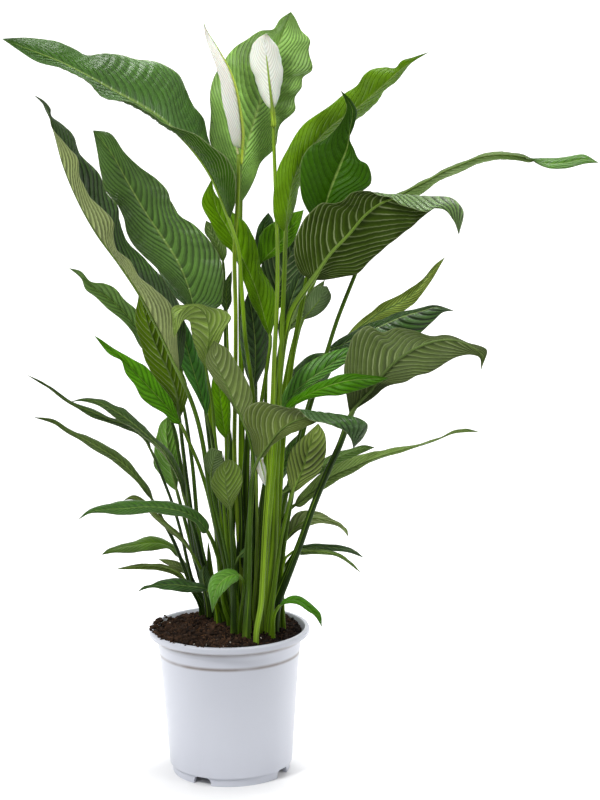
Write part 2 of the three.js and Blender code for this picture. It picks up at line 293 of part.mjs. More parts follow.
    "right": [[-21, 488, 2], [-23, 510, 4], [-28, 536, 6], [-37, 562, 5], [-45, 582, 3]] },
  { "name": "leaf_dark_centre", "shoot": "", "face": 1, "root": [27, 50], "radius": [2.8, 2.0], "sag": [-3, -3], "wave": 1,
    "stem": [[29, 300, 49], [32, 400, 48], [35, 475, 46]],
    "mid": [[36, 505, 46], [38, 535, 45], [38, 570, 44], [35, 600, 44], [30, 630, 44]],
    "left": [[28, 520, -2], [21, 550, -3], [19, 580, -3], [22, 608, -2]],
    "right": [[45, 522, 2], [55, 548, 3], [57, 575, 3], [48, 605, 2]] },
  { "name": "leaf_yellow_centre", "shoot": "", "face": 1, "root": [22, 28], "radius": [3.2, 2.4], "sag": [-3, -3], "wave": 1.5,
    "stem": [[26, 300, 28], [34, 400, 26], [44, 480, 24], [55, 545, 23]],
    "mid": [[58, 572, 23], [52, 592, 24], [44, 622, 26], [33, 653, 29], [22, 676, 32], [6, 710, 36], [-8, 736, 39], [-14, 774, 42]],
    "left": [[51, 582, -2], [43, 600, -3], [33, 618, -5], [26, 640, -5], [20, 660, -5], [8, 683, -5], [-4, 695, -5],
      [-17, 720, -4], [-27, 744, -2]],
    "right": [[63, 590, 3], [67, 615, 5], [60, 640, 7], [47, 660, 8], [43, 684, 8], [38, 702, 8], [24, 722, 7], [6, 738, 6],
      [-10, 756, 2]] },
  { "name": "leaf_pale_centre", "shoot": "shoot_back_centre", "face": -1, "root": [-2, 56], "radius": [2.6, 1.8],
    "sag": [2, 2], "wave": 0.8,
    "stem": [[-2, 300, 58], [0, 420, 60], [0, 540, 62], [0, 640, 61]],
    "mid": [[-1, 668, 60], [-7, 686, 60], [-14, 704, 60], [-22, 722, 60]],
    "left": [[-8, 678, -1], [-16, 694, -2], [-24, 708, -1]],
    "right": [[4, 680, 2], [0, 698, 3], [-10, 714, 2]] },
  { "name": "leaf_tiny_centre", "shoot": "shoot_back_centre", "face": -1, "root": [-2, 56], "radius": [2.6, 1.4],
    "sag": [1, 1], "wave": 0.3,
    "stem": [[0, 300, 56], [3, 420, 52], [4, 530, 50], [3, 580, 48]],
    "mid": [[3, 605, 48], [2, 622, 48], [4, 640, 48], [10, 658, 48]],
    "left": [[-4, 614, -1], [-4, 630, -1], [3, 648, 0]],
    "right": [[9, 618, 1], [9, 634, 1], [10, 648, 1]] },
  { "name": "leaf_dark_back", "shoot": "shoot_back_right", "face": 1, "root": [34, 60], "radius": [3.2, 1.8],
    "sag": [-2, -2], "wave": 0.8,
    "stem": [[36, 300, 62], [38, 450, 66], [40, 600, 70]],
    "mid": [[43, 680, 71], [47, 698, 72], [52, 715, 74], [57, 731, 76]],
    "left": [[40, 692, -1], [42, 708, -2], [49, 722, -1]],
    "right": [[52, 690, 1], [63, 707, 2], [63, 722, 1]] },
  { "name": "leaf_bright_back", "shoot": "shoot_back_right", "face": 1, "root": [34, 60], "radius": [3.2, 2.0],
    "sag": [-2, -2], "wave": 1,
    "stem": [[35, 300, 60], [36, 420, 59], [38, 540, 57], [41, 630, 53]],
    "mid": [[44, 664, 50], [55, 676, 50], [67, 688, 50], [80, 704, 50], [92, 720, 51], [102, 734, 52]],
    "left": [[43, 680, 2], [46, 702, 3], [62, 718, 3], [82, 729, 2]],
    "right": [[56, 672, -2], [70, 678, -3], [86, 691, -2], [96, 712, -1]] },
  { "name": "leaf_high_narrow_back", "shoot": "shoot_low_back", "face": 1, "root": [48, 66], "radius": [3.0, 1.8],
    "sag": [-2, -2], "wave": 0.8,
    "stem": [[50, 260, 66], [51, 340, 64]],
    "mid": [[58, 376, 62], [66, 395, 61], [75, 413, 60], [84, 430, 60], [92, 446, 60]],
    "left": [[58, 391, 1], [66, 412, 2], [78, 432, 1]],
    "right": [[71, 386, -1], [82, 404, -2], [91, 424, -1]] },
  { "name": "leaf_low_dark_back", "shoot": "shoot_low_back", "face": 1, "root": [48, 66], "radius": [3.0, 1.8],
    "sag": [-2, -2], "wave": 0.8,
    "stem": [[50, 235, 70]],
    "mid": [[52, 262, 74], [56, 290, 75], [62, 318, 75], [69, 348, 75], [76, 380, 75]],
    "left": [[48, 285, -1], [51, 318, -1], [59, 352, -1]],
    "right": [[64, 286, 1], [73, 316, 1], [78, 348, 1]] },
  { "name": "leaf_ribbed_back", "shoot": "shoot_mid_right", "face": -1, "root": [44, 50], "radius": [3.2, 2.2],
    "sag": [3, 3], "wave": 1,
    "stem": [[48, 300, 56], [50, 450, 60], [54, 560, 62]],
    "mid": [[58, 600, 62], [66, 630, 63], [75, 655, 63], [85, 680, 64], [95, 702, 65]],
    "left": [[50, 618, -2], [46, 646, -3], [50, 674, -3], [66, 698, -2]],
    "right": [[75, 614, 2], [92, 640, 3], [103, 664, 3], [103, 688, 1]] },
  { "name": "leaf_dark_mid_right", "shoot": "shoot_mid_right", "face": 1, "root": [44, 50], "radius": [3.2, 2.0],
    "sag": [-2, -2], "wave": 1,
    "stem": [[49, 300, 54], [56, 420, 53], [64, 520, 52]],
    "mid": [[70, 560, 51], [76, 590, 51], [83, 615, 51], [92, 640, 51], [100, 662, 51]],
    "left": [[68, 586, -1], [73, 612, -1], [84, 642, -1]],
    "right": [[81, 577, 1], [94, 602, 2], [104, 632, 1]] },
  { "name": "leaf_striped_right", "shoot": "shoot_right", "face": -1, "root": [54, 37], "radius": [2.8, 1.8],
    "sag": [1, 1], "wave": 0.8,
    "stem": [[55, 300, 38], [58, 420, 40], [68, 530, 43]],
    "mid": [[76, 578, 43], [90, 595, 43], [104, 612, 43], [116, 628, 42], [128, 645, 42]],
    "left": [[79, 590, 2], [92, 608, 3], [112, 634, 2]],
    "right": [[90, 585, -1], [106, 602, -2], [123, 625, -1]] },
  { "name": "leaf_round_right", "shoot": "shoot_right", "face": -1, "root": [54, 37], "radius": [2.8, 1.6],
    "sag": [1, 1], "wave": 0.5,
    "stem": [[56, 300, 35], [62, 370, 32], [75, 470, 29], [86, 539, 28], [93, 572, 28]],
    "mid": [[100, 594, 28], [109, 605, 28], [120, 618, 28], [131, 637, 28]],
    "left": [[101, 605, 1], [106, 622, 2], [120, 637, 1]],
    "right": [[114, 598, -1], [128, 608, -2], [136, 624, -1]] },
  { "name": "leaf_dark_far_right", "shoot": "", "face": 1, "root": [36, 38], "radius": [3.0, 2.2], "sag": [-2, -2], "wave": 1.5,
    "stem": [[40, 260, 36], [46, 330, 31], [66, 420, 24], [90, 490, 22], [118, 535, 24]],
    "mid": [[130, 553, 26], [150, 562, 25], [175, 574, 23], [200, 586, 21], [225, 597, 18], [250, 604, 15], [270, 609, 12],
      [293, 604, 8]],
    "left": [[138, 563, 3], [154, 574, 5], [176, 585, 6], [200, 595, 7], [226, 603, 7], [250, 609, 4], [272, 611, 1]],
    "right": [[144, 553, -4], [164, 557, -6], [188, 560, -8], [212, 562, -9], [236, 568, -9], [252, 578, -8], [266, 591, -6],
      [278, 602, -2]] },
  { "name": "leaf_front_right", "shoot": "", "face": -1, "root": [58, -27], "radius": [5.2, 4.2], "sag": [4, 4], "wave": 2,
    "stem": [[63, 225, -28], [75, 255, -30], [93, 300, -33], [113, 356, -37], [131, 399, -41], [147, 434, -44]],
    "mid": [[159, 466, -46], [170, 484, -49], [186, 501, -54], [204, 525, -61], [224, 544, -68], [248, 558, -75],
      [270, 565, -83], [292, 566, -90], [314, 558, -96], [330, 543, -101], [327, 527, -105]],
    "left": [[156, 486, 3], [153, 510, 6], [152, 536, 9], [157, 556, 11], [168, 577, 12], [182, 586, 12], [200, 577, 12],
      [218, 583, 12], [238, 580, 11], [262, 573, 9], [284, 573, 7], [306, 564, 4], [325, 559, 0], [333, 555, -2]],
    "right": [[164, 474, -2], [176, 484, -4], [192, 496, -6], [210, 508, -8], [230, 513, -8], [244, 520, -7], [264, 526, -5],
      [282, 537, -3], [298, 545, -1], [314, 547, 1], [325, 544, 2]] },
  { "name": "leaf_glossy_right", "shoot": "", "face": 1, "root": [34, 8], "radius": [3.0, 2.2], "sag": [-2, -2], "wave": 1,
    "stem": [[37, 260, 8], [43, 340, 3], [52, 410, -2], [62, 460, -4]],
    "mid": [[70, 477, -4], [84, 496, -5], [102, 513, -6], [122, 527, -7], [140, 540, -8], [158, 550, -8], [172, 556, -8]],
    "left": [[70, 488, 1], [78, 508, 3], [90, 526, 4], [106, 539, 4], [124, 548, 4], [142, 555, 3], [158, 558, 1]],
    "right": [[79, 483, -3], [94, 498, -5], [110, 510, -6], [126, 520, -6], [142, 530, -5], [158, 542, -3]] },
  { "name": "leaf_wavy_right", "shoot": "", "face": 1, "root": [41, -24], "radius": [2.6, 2.0], "sag": [-2, -2], "wave": 1.5,
    "stem": [[42, 270, -25], [46, 340, -27], [54, 410, -28], [66, 458, -30]],
    "mid": [[73, 474, -33], [86, 486, -40], [104, 497, -49], [122, 505, -56], [142, 512, -62], [162, 516, -67],
      [184, 517, -72], [209, 518, -78]],
    "left": [[77, 484, 3], [90, 496, 6], [108, 508, 8], [126, 515, 8], [144, 523, 6], [164, 524, 4], [186, 522, 2]],
    "right": [[83, 480, -2], [98, 489, -5], [114, 493, -6], [130, 496, -7], [146, 496, -6], [164, 501, -5], [184, 507, -3]] },
  { "name": "leaf_oval_front", "shoot": "", "face": -1, "root": [7, -47], "radius": [2.2, 1.6], "sag": [2, 2], "wave": 0.5,
    "stem": [[6, 245, -51], [5, 295, -58], [4, 328, -64]],
    "mid": [[4, 344, -67], [1, 362, -70], [-2, 382, -73], [-2, 400, -75], [0, 415, -77]],
    "left": [[-4, 353, -1], [-15, 366, -2], [-21, 382, -1], [-16, 397, 0]],
    "right": [[9, 358, -1], [17, 374, -2], [20, 392, -1], [12, 409, 0]] },
  { "name": "leaf_curled_front", "shoot": "shoot_small_front", "face": -1, "root": [8, -33], "radius": [2.4, 1.4],
    "sag": [1, 1], "wave": 0.5,
    "stem": [[2, 260, -37], [-10, 325, -41], [-18, 362, -43]],
    "mid": [[-21, 390, -43], [-19, 405, -44], [-14, 418, -46], [-6, 425, -48]],
    "left": [[-27, 402, 0], [-29, 416, 0], [-21, 428, 0]],
    "right": [[-11, 399, -1], [-5, 408, -1], [-5, 418, -1]] },
  { "name": "leaf_tiny_front", "shoot": "shoot_small_front", "face": -1, "root": [8, -33], "radius": [2.4, 1.4],
    "sag": [1, 1], "wave": 0.3,
    "stem": [[8, 240, -31], [9, 274, -29]],
    "mid": [[13, 284, -28], [19, 290, -27], [25, 293, -27], [32, 297, -27]],
    "left": [[15, 289, 1], [24, 298, 1]],
    "right": [[19, 284, -1], [28, 289, -1]] },
  { "name": "leaf_back_left", "shoot": "", "face": 1, "root": [-8, 74], "radius": [4.2, 2.8], "sag": [-3, -3], "wave": 2,
    "stem": [[-12, 300, 88], [-20, 420, 108], [-34, 540, 130]],
    "mid": [[-46, 610, 142], [-60, 650, 152], [-78, 700, 160], [-95, 745, 164], [-108, 780, 164]],
    "left": [[-66, 628, 2], [-86, 662, 4], [-105, 702, 6], [-118, 744, 4]],
    "right": [[-36, 650, -2], [-44, 700, -4], [-62, 740, -4], [-88, 770, -2]] },
  { "name": "leaf_back_right", "shoot": "shoot_back_far_right", "face": 1, "root": [22, 76], "radius": [4.4, 2.8],
    "sag": [-3, -3], "wave": 2,
    "stem": [[40, 300, 92], [66, 460, 116], [95, 590, 136]],
    "mid": [[115, 645, 142], [132, 680, 146], [150, 706, 148], [176, 738, 148]],
    "left": [[108, 668, 3], [116, 700, 4], [140, 730, 3]],
    "right": [[136, 656, -3], [160, 680, -4], [178, 712, -3]] },
  { "name": "leaf_back_low_right", "shoot": "shoot_back_far_right", "face": 1, "root": [22, 76], "radius": [4.4, 2.4],
    "sag": [-3, -3], "wave": 1.5,
    "stem": [[36, 300, 100], [52, 400, 124]],
    "mid": [[72, 470, 140], [92, 505, 144], [112, 532, 146], [136, 552, 146]],
    "left": [[74, 492, 3], [84, 526, 4], [112, 550, 3]],
    "right": [[90, 486, -3], [116, 502, -4], [136, 528, -3]] },
  { "name": "leaf_back_low_left", "shoot": "", "face": 1, "root": [-26, 82], "radius": [3.4, 2.2], "sag": [-3, -3], "wave": 1.5,
    "stem": [[-36, 300, 96], [-46, 420, 112]],
    "mid": [[-58, 500, 122], [-70, 540, 126], [-84, 580, 128], [-98, 612, 128]],
    "left": [[-70, 514, 2], [-88, 546, 3], [-102, 584, 2]],
    "right": [[-54, 530, -2], [-58, 572, -3], [-80, 606, -2]] },
];

// Flower stalks: root on the soil, centre line, radii
const STALKS = [
  { name: 'flower_stalk_high', root: [20, 12], radius: [3.0, 2.6], path: [[17, 250, 20], [12, 350, 24], [10, 430, 24],
    [12, 500, 22], [14, 600, 17], [14, 690, 13], [18, 740, 11], [20, 780, 11], [20, 804, 11]] },
  { name: 'flower_stalk_front', root: [37, -75], radius: [3.8, 2.2], path: [[42, 222, -72], [44, 250, -69],
    [46, 283, -66], [49, 333, -60], [53, 380, -54], [56, 425, -50], [60, 490, -46], [63, 552, -34], [66, 600, -19],
    [68, 650, -1], [68, 700, 18], [67, 740, 30], [66, 780, 38], [65, 824, 42], [65, 861, 46]] },
  { name: 'flower_stalk_low', root: [34, -26], radius: [2.2, 1.7], path: [[36, 260, -28], [38, 350, -31],
    [37, 405, -32], [34, 424, -33]] },
];
const SPADIX_RADIUS = 4.0;
const SPADICES = [
  { name: 'spadix_high', path: [[20, 804.4, 11], [17, 822, 11], [13.5, 850, 11], [8, 880, 11]] },
  { name: 'spadix_front', path: [[65, 861.4, 46], [64, 876, 50], [61, 900, 54], [58, 926, 56]] },
];
const SPATHES = [
  { name: 'spathe_high', face: -1, radius: [1.6, 1.5], sag: [-3, -3], wave: 0.5, start: [23.85, 792, 11],
    stem: [[24.1, 800, 11]],
    mid: [[25, 811, 11], [24.5, 822, 11], [24, 838, 11], [22.5, 852, 11], [20, 872, 11], [16, 891, 11], [9, 911, 11],
      [-1, 930, 11], [-9, 944, 11], [-17, 957, 11], [-21, 968, 11]],
    left: [[15, 815, -8], [10, 830, -13], [6, 848, -16], [1, 872, -16], [-1, 892, -14], [-6, 914, -12], [-13, 932, -8],
      [-19, 952, -3]],
    right: [[17, 817, 8], [13, 832, 13], [9, 850, 15], [5, 873, 15], [0, 894, 14], [-7, 917, 11], [-14, 937, 6],
      [-19, 953, 2]] },
  { name: 'spathe_front', face: -1, radius: [1.6, 1.5], sag: [-3, -3], wave: 0.8, start: [65, 838, 38.4],
    stem: [[64.9, 846, 39.2]],
    mid: [[64, 858, 41], [62, 876, 41], [60, 895, 42], [58, 915, 44], [56, 932, 45], [55, 945, 45], [57, 954, 42]],
    left: [[57, 864, 6], [48, 880, 10], [41, 902, 12], [36, 920, 11], [38, 936, 8], [46, 947, 4]],
    right: [[70, 870, 5], [75, 888, 8], [77, 906, 10], [75, 924, 9], [70, 938, 6], [62, 948, 2]] },
  { name: 'spathe_low', face: -1, radius: [1.4, 1.2], sag: [1, 1], wave: 0.5, start: [33.7, 424.6, -33],
    stem: [[34, 428, -34]],
    mid: [[38, 427, -36], [42, 416, -38], [45, 403, -39], [48, 390, -40], [49, 378, -40]],
    left: [[44, 420, 2], [48, 408, 3], [51, 392, 2]],
    right: [[36, 414, -1], [38, 402, -2], [43, 388, -1]] },
];

const vec = (x, y, z) => new THREE.Vector3(x, y, z);

// A reading (x, height) at depth y, moved along the line of sight to that depth.
function place([x, z, y]) {
  const k = 1 + y / EYE_DISTANCE;
  return vec(EYE_X + (x - EYE_X) * k, y, EYE_Z + (z - EYE_Z) * k);
}

// Smooth curve through points, by distance along its chords.
function curve(points) {
  const at = [0];
  for (let i = 1; i < points.length; i += 1) at.push(at[i - 1] + points[i].distanceTo(points[i - 1]));
  const last = points.length - 1;
  const slope = (i) => points[i + 1].clone().sub(points[i]).divideScalar(at[i + 1] - at[i]);
  const tangent = (i) => {
    if (i === 0) return slope(0);
    if (i === last) return slope(last - 1);
    const before = at[i] - at[i - 1];
    const after = at[i + 1] - at[i];
    return slope(i - 1).multiplyScalar(after).add(slope(i).multiplyScalar(before)).divideScalar(before + after);
  };
  const sample = (s) => {
    let i = 0;
    while (i < last - 1 && s > at[i + 1]) i += 1;
    const h = at[i + 1] - at[i];
    const u = (s - at[i]) / h;
    const a = 2 * u ** 3 - 3 * u ** 2 + 1;
    const b = u ** 3 - 2 * u ** 2 + u;
    const c = 3 * u ** 2 - 2 * u ** 3;
    const d = u ** 3 - u ** 2;
    return points[i].clone().multiplyScalar(a).addScaledVector(tangent(i), b * h)
      .addScaledVector(points[i + 1], c).addScaledVector(tangent(i + 1), d * h);
  };
  return { length: at[last], at, sample };
}

// Edge of a blade: its interior readings carry a depth relative to the midrib at the same share of length.
function edgeCurve(row, side, blade) {
  const flat = [row.mid[0], ...row[side], row.mid[row.mid.length - 1]].map((p) => [p[0], p[1]]);
  const run = [0];
  for (let i = 1; i < flat.length; i += 1) {
    run.push(run[i - 1] + Math.hypot(flat[i][0] - flat[i - 1][0], flat[i][1] - flat[i - 1][1]));
  }
  const points = flat.map(([x, z], i) => {
    const share = run[i] / run[run.length - 1];
    const inner = i > 0 && i < flat.length - 1;
    const depth = blade(share).y + (inner ? row[side][i - 1][2] : 0);
    return place([x, z, depth]);
  });
  const c = curve(points);
  return (share) => c.sample(Math.min(1, share) * c.length);
}

function phaseOf(name) {
  let sum = 0;
  for (const letter of name) sum = (sum * 31 + letter.charCodeAt(0)) % 997;
  return (sum / 997) * 2 * Math.PI;
}

// Cross-section points of the blade at a share of its length: columns from the left edge to the right.
function section(shape, share, columns) {
  const { row, blade, left, right, step } = shape;
  const mid = blade(share);
  const ahead = Math.min(1, share + (row.lead ?? LEAD) * share * (1 - share));
  const tangent = blade(Math.min(1, share + step)).sub(blade(Math.max(0, share - step))).normalize();
  const edges = [left(ahead), right(ahead)];
  const normals = [
    mid.clone().sub(edges[0]).cross(tangent).normalize(),
    edges[1].clone().sub(mid).cross(tangent).normalize(),
  ];
  const middle = normals[0].clone().add(normals[1]).normalize();
  const miter = 1 / Math.max(FOLD_LIMIT, middle.dot(normals[0]));
  const half = (columns - 1) / 2;
  const out = [];
  for (let j = 0; j < columns; j += 1) {
    const side = j < half ? 0 : 1;
    const u = Math.abs(j - half) / half;
    if (j === half) {
      out.push({ at: mid, normal: middle, reach: miter });
    } else {
      const reach = edges[side].clone().sub(mid);
      const width = reach.length();
      const sag = row.sag[side] * (width / shape.width) * 4 * u * (1 - u);
      const wave = row.wave * u * u * Math.sin(Math.PI * share) ** 0.5
        * Math.sin(shape.phase + side * 1.7 + 2 * Math.PI * shape.waves * share);
      const at = mid.clone().addScaledVector(reach, u).addScaledVector(normals[side], wave - sag);
      out.push({ at, normal: normals[side], reach: 1 });
    }
  }
  return { points: out, tangent, normal: middle };
}

function shapeOf(row) {
  const start = row.start ? [place(row.start)] : [vec(row.root[0], row.root[1], ROOT_Z), vec(row.root[0], row.root[1], COLLAR_Z)];
  const points = [...start, ...row.stem.map(place), ...row.mid.map(place)];
  const path = curve(points);
  const base = path.at[points.length - row.mid.length];
  const blade = (share) => path.sample(base + share * (path.length - base));
  const shape = { row, path, base, blade, step: 0.01, phase: phaseOf(row.name) };
  shape.left = edgeCurve(row, 'left', blade);
  shape.right = edgeCurve(row, 'right', blade);
  shape.width = 0;
  for (let i = 1; i < 20; i += 1) {
    const share = i / 20;
    const mid = blade(share);
    shape.width = Math.max(shape.width, shape.left(share).distanceTo(mid), shape.right(share).distanceTo(mid));
  }
  shape.waves = 2 + (path.length - base) / 90;
  shape.large = shape.width > LARGE_HALF_WIDTH;
  return shape;
}

// Rings along the leaf: the stalk first, then the blade. Each ring runs left to right on the face turned to
// the front and back again on the other face.
function leafRings(shape, grow = 0) {
  const { row, path, base } = shape;
  const rings = [];
  const first = section(shape, 0.05, 3);
  let side = first.points[2].at.clone().sub(first.points[0].at);
  const stalkRing = (s, across, radius, tangent) => {
    const centre = path.sample(s);
    const up = across.clone().cross(tangent).normalize();
    const flat = tangent.clone().cross(up).normalize();
    return [150, 90, 30, -30, -90, -150].map((angle) => {
      const a = THREE.MathUtils.degToRad(angle);
      return centre.clone().addScaledVector(flat, Math.cos(a) * radius).addScaledVector(up, Math.sin(a) * radius);
    });
  };
  const collar = row.start ? 0 : COLLAR_Z - ROOT_Z;
  const count = Math.max(row.start ? 1 : 2, Math.round((base - collar) / STALK_STEP));
  const stalk = [];
  for (let i = count; i >= 1; i -= 1) {
    const s = collar + (base - collar) * (i / count);
    const tangent = path.sample(s + 0.5).sub(path.sample(s - 0.5)).normalize();
    side.addScaledVector(tangent, -side.dot(tangent)).normalize();
    const t = i / count;
    stalk.unshift(stalkRing(s, side, row.radius[0] + (row.radius[1] - row.radius[0]) * t + grow, tangent));
  }
  const upright = row.start ? path.sample(1).sub(path.sample(0)).normalize() : vec(0, 0, 1);
  side.addScaledVector(upright, -side.dot(upright)).normalize();
  if (!row.start) stalk.unshift(stalkRing(collar, side, row.radius[0] + grow, upright));
  stalk.unshift(stalkRing(0, side, row.radius[0] + grow, upright));
  rings.push(...stalk);
  const columns = shape.large ? 5 : 3;
  const rows = shape.large ? 10 : 6;
  for (let i = 1; i <= rows; i += 1) {
    const share = 0.035 + 0.95 * ((i - 1) / (rows - 1));
    const { points, normal } = section(shape, share, columns);
    const rib = row.radius[1] * (RIB_SHARE + (RIB_TIP - RIB_SHARE) * share);
    const lift = (p, sign, isMid) => {
      const extra = isMid && sign !== row.face ? rib : 0;
      return p.at.clone().addScaledVector(p.normal, sign * (BLADE_THICKNESS / 2 + extra) * p.reach);
    };
    const half = (columns - 1) / 2;
    const front = points.map((p, j) => lift(p, 1, j === half));
    const back = points.map((p, j) => lift(p, -1, j === half)).reverse();
    rings.push([...front, ...back]);
  }
  return { rings, tip: shape.blade(1), lower: rings.slice(0, 2) };
}

// Closed skin over rings of points, with an optional end point; faces of a pair of columns split alike.
function skin(rings, tip) {
  const positions = [];
  const starts = [];
  for (const ring of rings) {
    starts.push(positions.length / 3);
    for (const p of ring) positions.push(p.x, p.y, p.z);
  }
  const index = [];
  for (let r = 0; r < rings.length - 1; r += 1) {
    const m = rings[r].length;
    const n = rings[r + 1].length;
    const a = (j) => starts[r] + (j % m);
    const b = (j) => starts[r + 1] + (j % n);
    if (m === n) {
      for (let j = 0; j < m; j += 1) {
        if (j < m / 2) index.push(a(j), a(j + 1), b(j + 1), a(j), b(j + 1), b(j));
        else index.push(a(j), a(j + 1), b(j), a(j + 1), b(j + 1), b(j));
      }
    } else {
      let i = 0;
      let j = 0;
      while (i < m || j < n) {
        if (j >= n || (i < m && (i + 1) / m <= (j + 1) / n)) {
          index.push(a(i), a(i + 1), b(j));
          i += 1;
        } else {
          index.push(a(i), b(j + 1), b(j));
          j += 1;
        }
      }
    }
  }
  for (let j = 1; j < rings[0].length - 1; j += 1) index.push(starts[0], starts[0] + j + 1, starts[0] + j);
  const last = rings.length - 1;
  const n = rings[last].length;
  if (tip) {
    positions.push(tip.x, tip.y, tip.z);
    for (let j = 0; j < n; j += 1) index.push(starts[last] + j, starts[last] + ((j + 1) % n), positions.length / 3 - 1);
  } else {
    for (let j = 1; j < n - 1; j += 1) index.push(starts[last], starts[last] + j, starts[last] + j + 1);
  }
  const geometry = new THREE.BufferGeometry();
  geometry.setAttribute('position', new THREE.Float32BufferAttribute(positions, 3));
  geometry.setIndex(index);
  return geometry;
}

function solid(geometry) {
  const plain = geometry.clone();
  plain.deleteAttribute('normal');
  plain.deleteAttribute('uv');
  const merged = mergeVertices(plain, 1e-3);
  return new wasm.Manifold(new wasm.Mesh({
    numProp: 3,
    vertProperties: new Float32Array(merged.attributes.position.array),
    triVerts: new Uint32Array(merged.index.array),
  }));
}

function geometryOf(body) {
  const mesh = body.getMesh();
  const geometry = new THREE.BufferGeometry();
  geometry.setAttribute('position', new THREE.Float32BufferAttribute(mesh.vertProperties, 3));
  geometry.setIndex(Array.from(mesh.triVerts));
  geometry.computeVertexNormals();
  return geometry;
}

// Round stalk along a path, hexagonal in section.
function tubeRings(start, points, radii, sides, rings, grow = 0) {
  const path = curve([...start, ...points]);
  const out = [];
  for (let i = 0; i < rings.length; i += 1) {
    const s = rings[i] * path.length;
    const tangent = path.sample(Math.min(path.length, s + 0.5)).sub(path.sample(Math.max(0, s - 0.5))).normalize();
    const across = vec(1, 0, 0).cross(tangent).normalize();
    const flat = tangent.clone().cross(across);
    const radius = radii(rings[i]) + grow;
    out.push(Array.from({ length: sides }, (_, k) => {
      const a = (2 * Math.PI * k) / sides;
      return path.sample(s).addScaledVector(across, Math.cos(a) * radius).addScaledVector(flat, Math.sin(a) * radius);
    }));
  }
  return { rings: out, path };
}

function stalkRings(stalk, grow = 0) {
  const start = [vec(stalk.root[0], stalk.root[1], ROOT_Z), vec(stalk.root[0], stalk.root[1], COLLAR_Z)];
  const points = stalk.path.map(place);
  const length = curve([...start, ...points]).length;
  const collar = (COLLAR_Z - ROOT_Z) / length;
  const count = Math.max(4, Math.round(length / STALK_STEP));
  const shares = [0, collar];
  for (let i = 1; i <= count; i += 1) shares.push(collar + (1 - collar) * (i / count));
  const radius = (t) => stalk.radius[0] + (stalk.radius[1] - stalk.radius[0]) * t;
  const { rings } = tubeRings(start, points, radius, 6, shares, grow);
  for (const [i, z] of [[0, ROOT_Z], [1, COLLAR_Z]]) {
    rings[i] = rings[i].map((_, k) => {
      const a = (2 * Math.PI * k) / 6;
      return vec(stalk.root[0] + Math.sin(a) * (stalk.radius[0] + grow), stalk.root[1] - Math.cos(a) * (stalk.radius[0] + grow), z);
    });
  }
  return rings;
}

function spadixGeometry(spadix) {
  const points = spadix.path.map(place);
  const shares = [0, 0.12, 0.2, 0.35, 0.6, 0.85, 0.96];
  const radius = (t) => (t < 0.16 ? 1.8 : SPADIX_RADIUS * Math.sqrt(1 - Math.max(0, (t - 0.5) * 1.9) ** 2));
  const { rings, path } = tubeRings([], points, radius, 8, shares);
  return skin(rings, path.sample(path.length));
}

function potGeometry() {
  const profile = POT_PROFILE.map(([r, z]) => new THREE.Vector2(r, z));
  const lathe = new THREE.LatheGeometry(profile, POT_SIDES);
  lathe.rotateX(Math.PI / 2);
  let body = solid(lathe);
  if (body.volume() < 0) throw new Error('pot profile runs the wrong way');
  for (let i = 0; i < 4; i += 1) {
    const notch = new THREE.BoxGeometry(NOTCH_DEPTH, NOTCH_WIDTH, NOTCH_HEIGHT * 2);
    const angle = THREE.MathUtils.degToRad(NOTCH_FIRST_ANGLE + 90 * i);
    notch.translate(NOTCH_RING_RADIUS, 0, 0);
    notch.rotateZ(angle);
    body = body.subtract(solid(notch));
  }
  return body;
}

function soilHeight(x, y) {
  const r = Math.hypot(x, y);
  const mound = SOIL_MOUND * (1 - (r / 91) ** 2);
  const heap = HEAP.height * Math.exp(-((x - HEAP.x) ** 2 + (y - HEAP.y) ** 2) / HEAP.radius ** 2);
  const lump = SOIL_LUMP * Math.sin(x * 0.19 + 1.3) * Math.cos(y * 0.23 - 0.6);
  return SOIL_EDGE_HEIGHT + mound + heap + lump;
}

function soilBody() {
  const rings = [];
  const [topRadius, topHeight] = POT_PROFILE[POT_PROFILE.length - 3];
  const [floorRadius, floorHeight] = POT_PROFILE[POT_PROFILE.length - 2];
  const slope = (topRadius - floorRadius) / (topHeight - floorHeight);
  const wall = (z) => floorRadius + slope * (z - floorHeight) - SOIL_GAP;
  const ring = (r, z) => Array.from({ length: SOIL_SIDES }, (_, k) => {
    const a = (2 * Math.PI * k) / SOIL_SIDES;
    return vec(Math.cos(a) * r, Math.sin(a) * r, typeof z === 'number' ? z : z(Math.cos(a) * r, Math.sin(a) * r));
  });
  rings.push(ring(wall(SOIL_BOTTOM) * 0.995, SOIL_BOTTOM));
  rings.push(ring(wall(180) - 0.3, 180));
  for (let i = SOIL_RINGS.length - 1; i > 0; i -= 1) rings.push(ring(SOIL_RINGS[i], soilHeight));
  return solid(skin(rings, vec(0, 0, soilHeight(0, 0))));
}

const group = new THREE.Group();
group.name = 'potted_peace_lily';
const COLOURS = {
  pot: 0xe4e6ec, soil: 0x3a2a20, leaf: 0x4f7d3a, young: 0x6f9a32, spathe: 0xf2f1ea, stalk: 0x5e8a2c, spadix: 0xdfe2b4,
};
const YOUNG = new Set([
  'leaf_high_right', 'leaf_bright_right', 'leaf_bright_left', 'leaf_bright_centre', 'leaf_yellow_centre',
  'leaf_small_left', 'leaf_wavy_right', 'leaf_front_drooping', 'leaf_behind_left',
]);

function addMesh(name, geometry, colour, roughness = 0.5) {
  const material = new THREE.MeshStandardMaterial({ color: COLOURS[colour], roughness });
  material.name = name;
  const mesh = new THREE.Mesh(geometry, material);
  mesh.name = name;
  group.add(mesh);
}

addMesh('pot', geometryOf(potGeometry()), 'pot', 0.35);

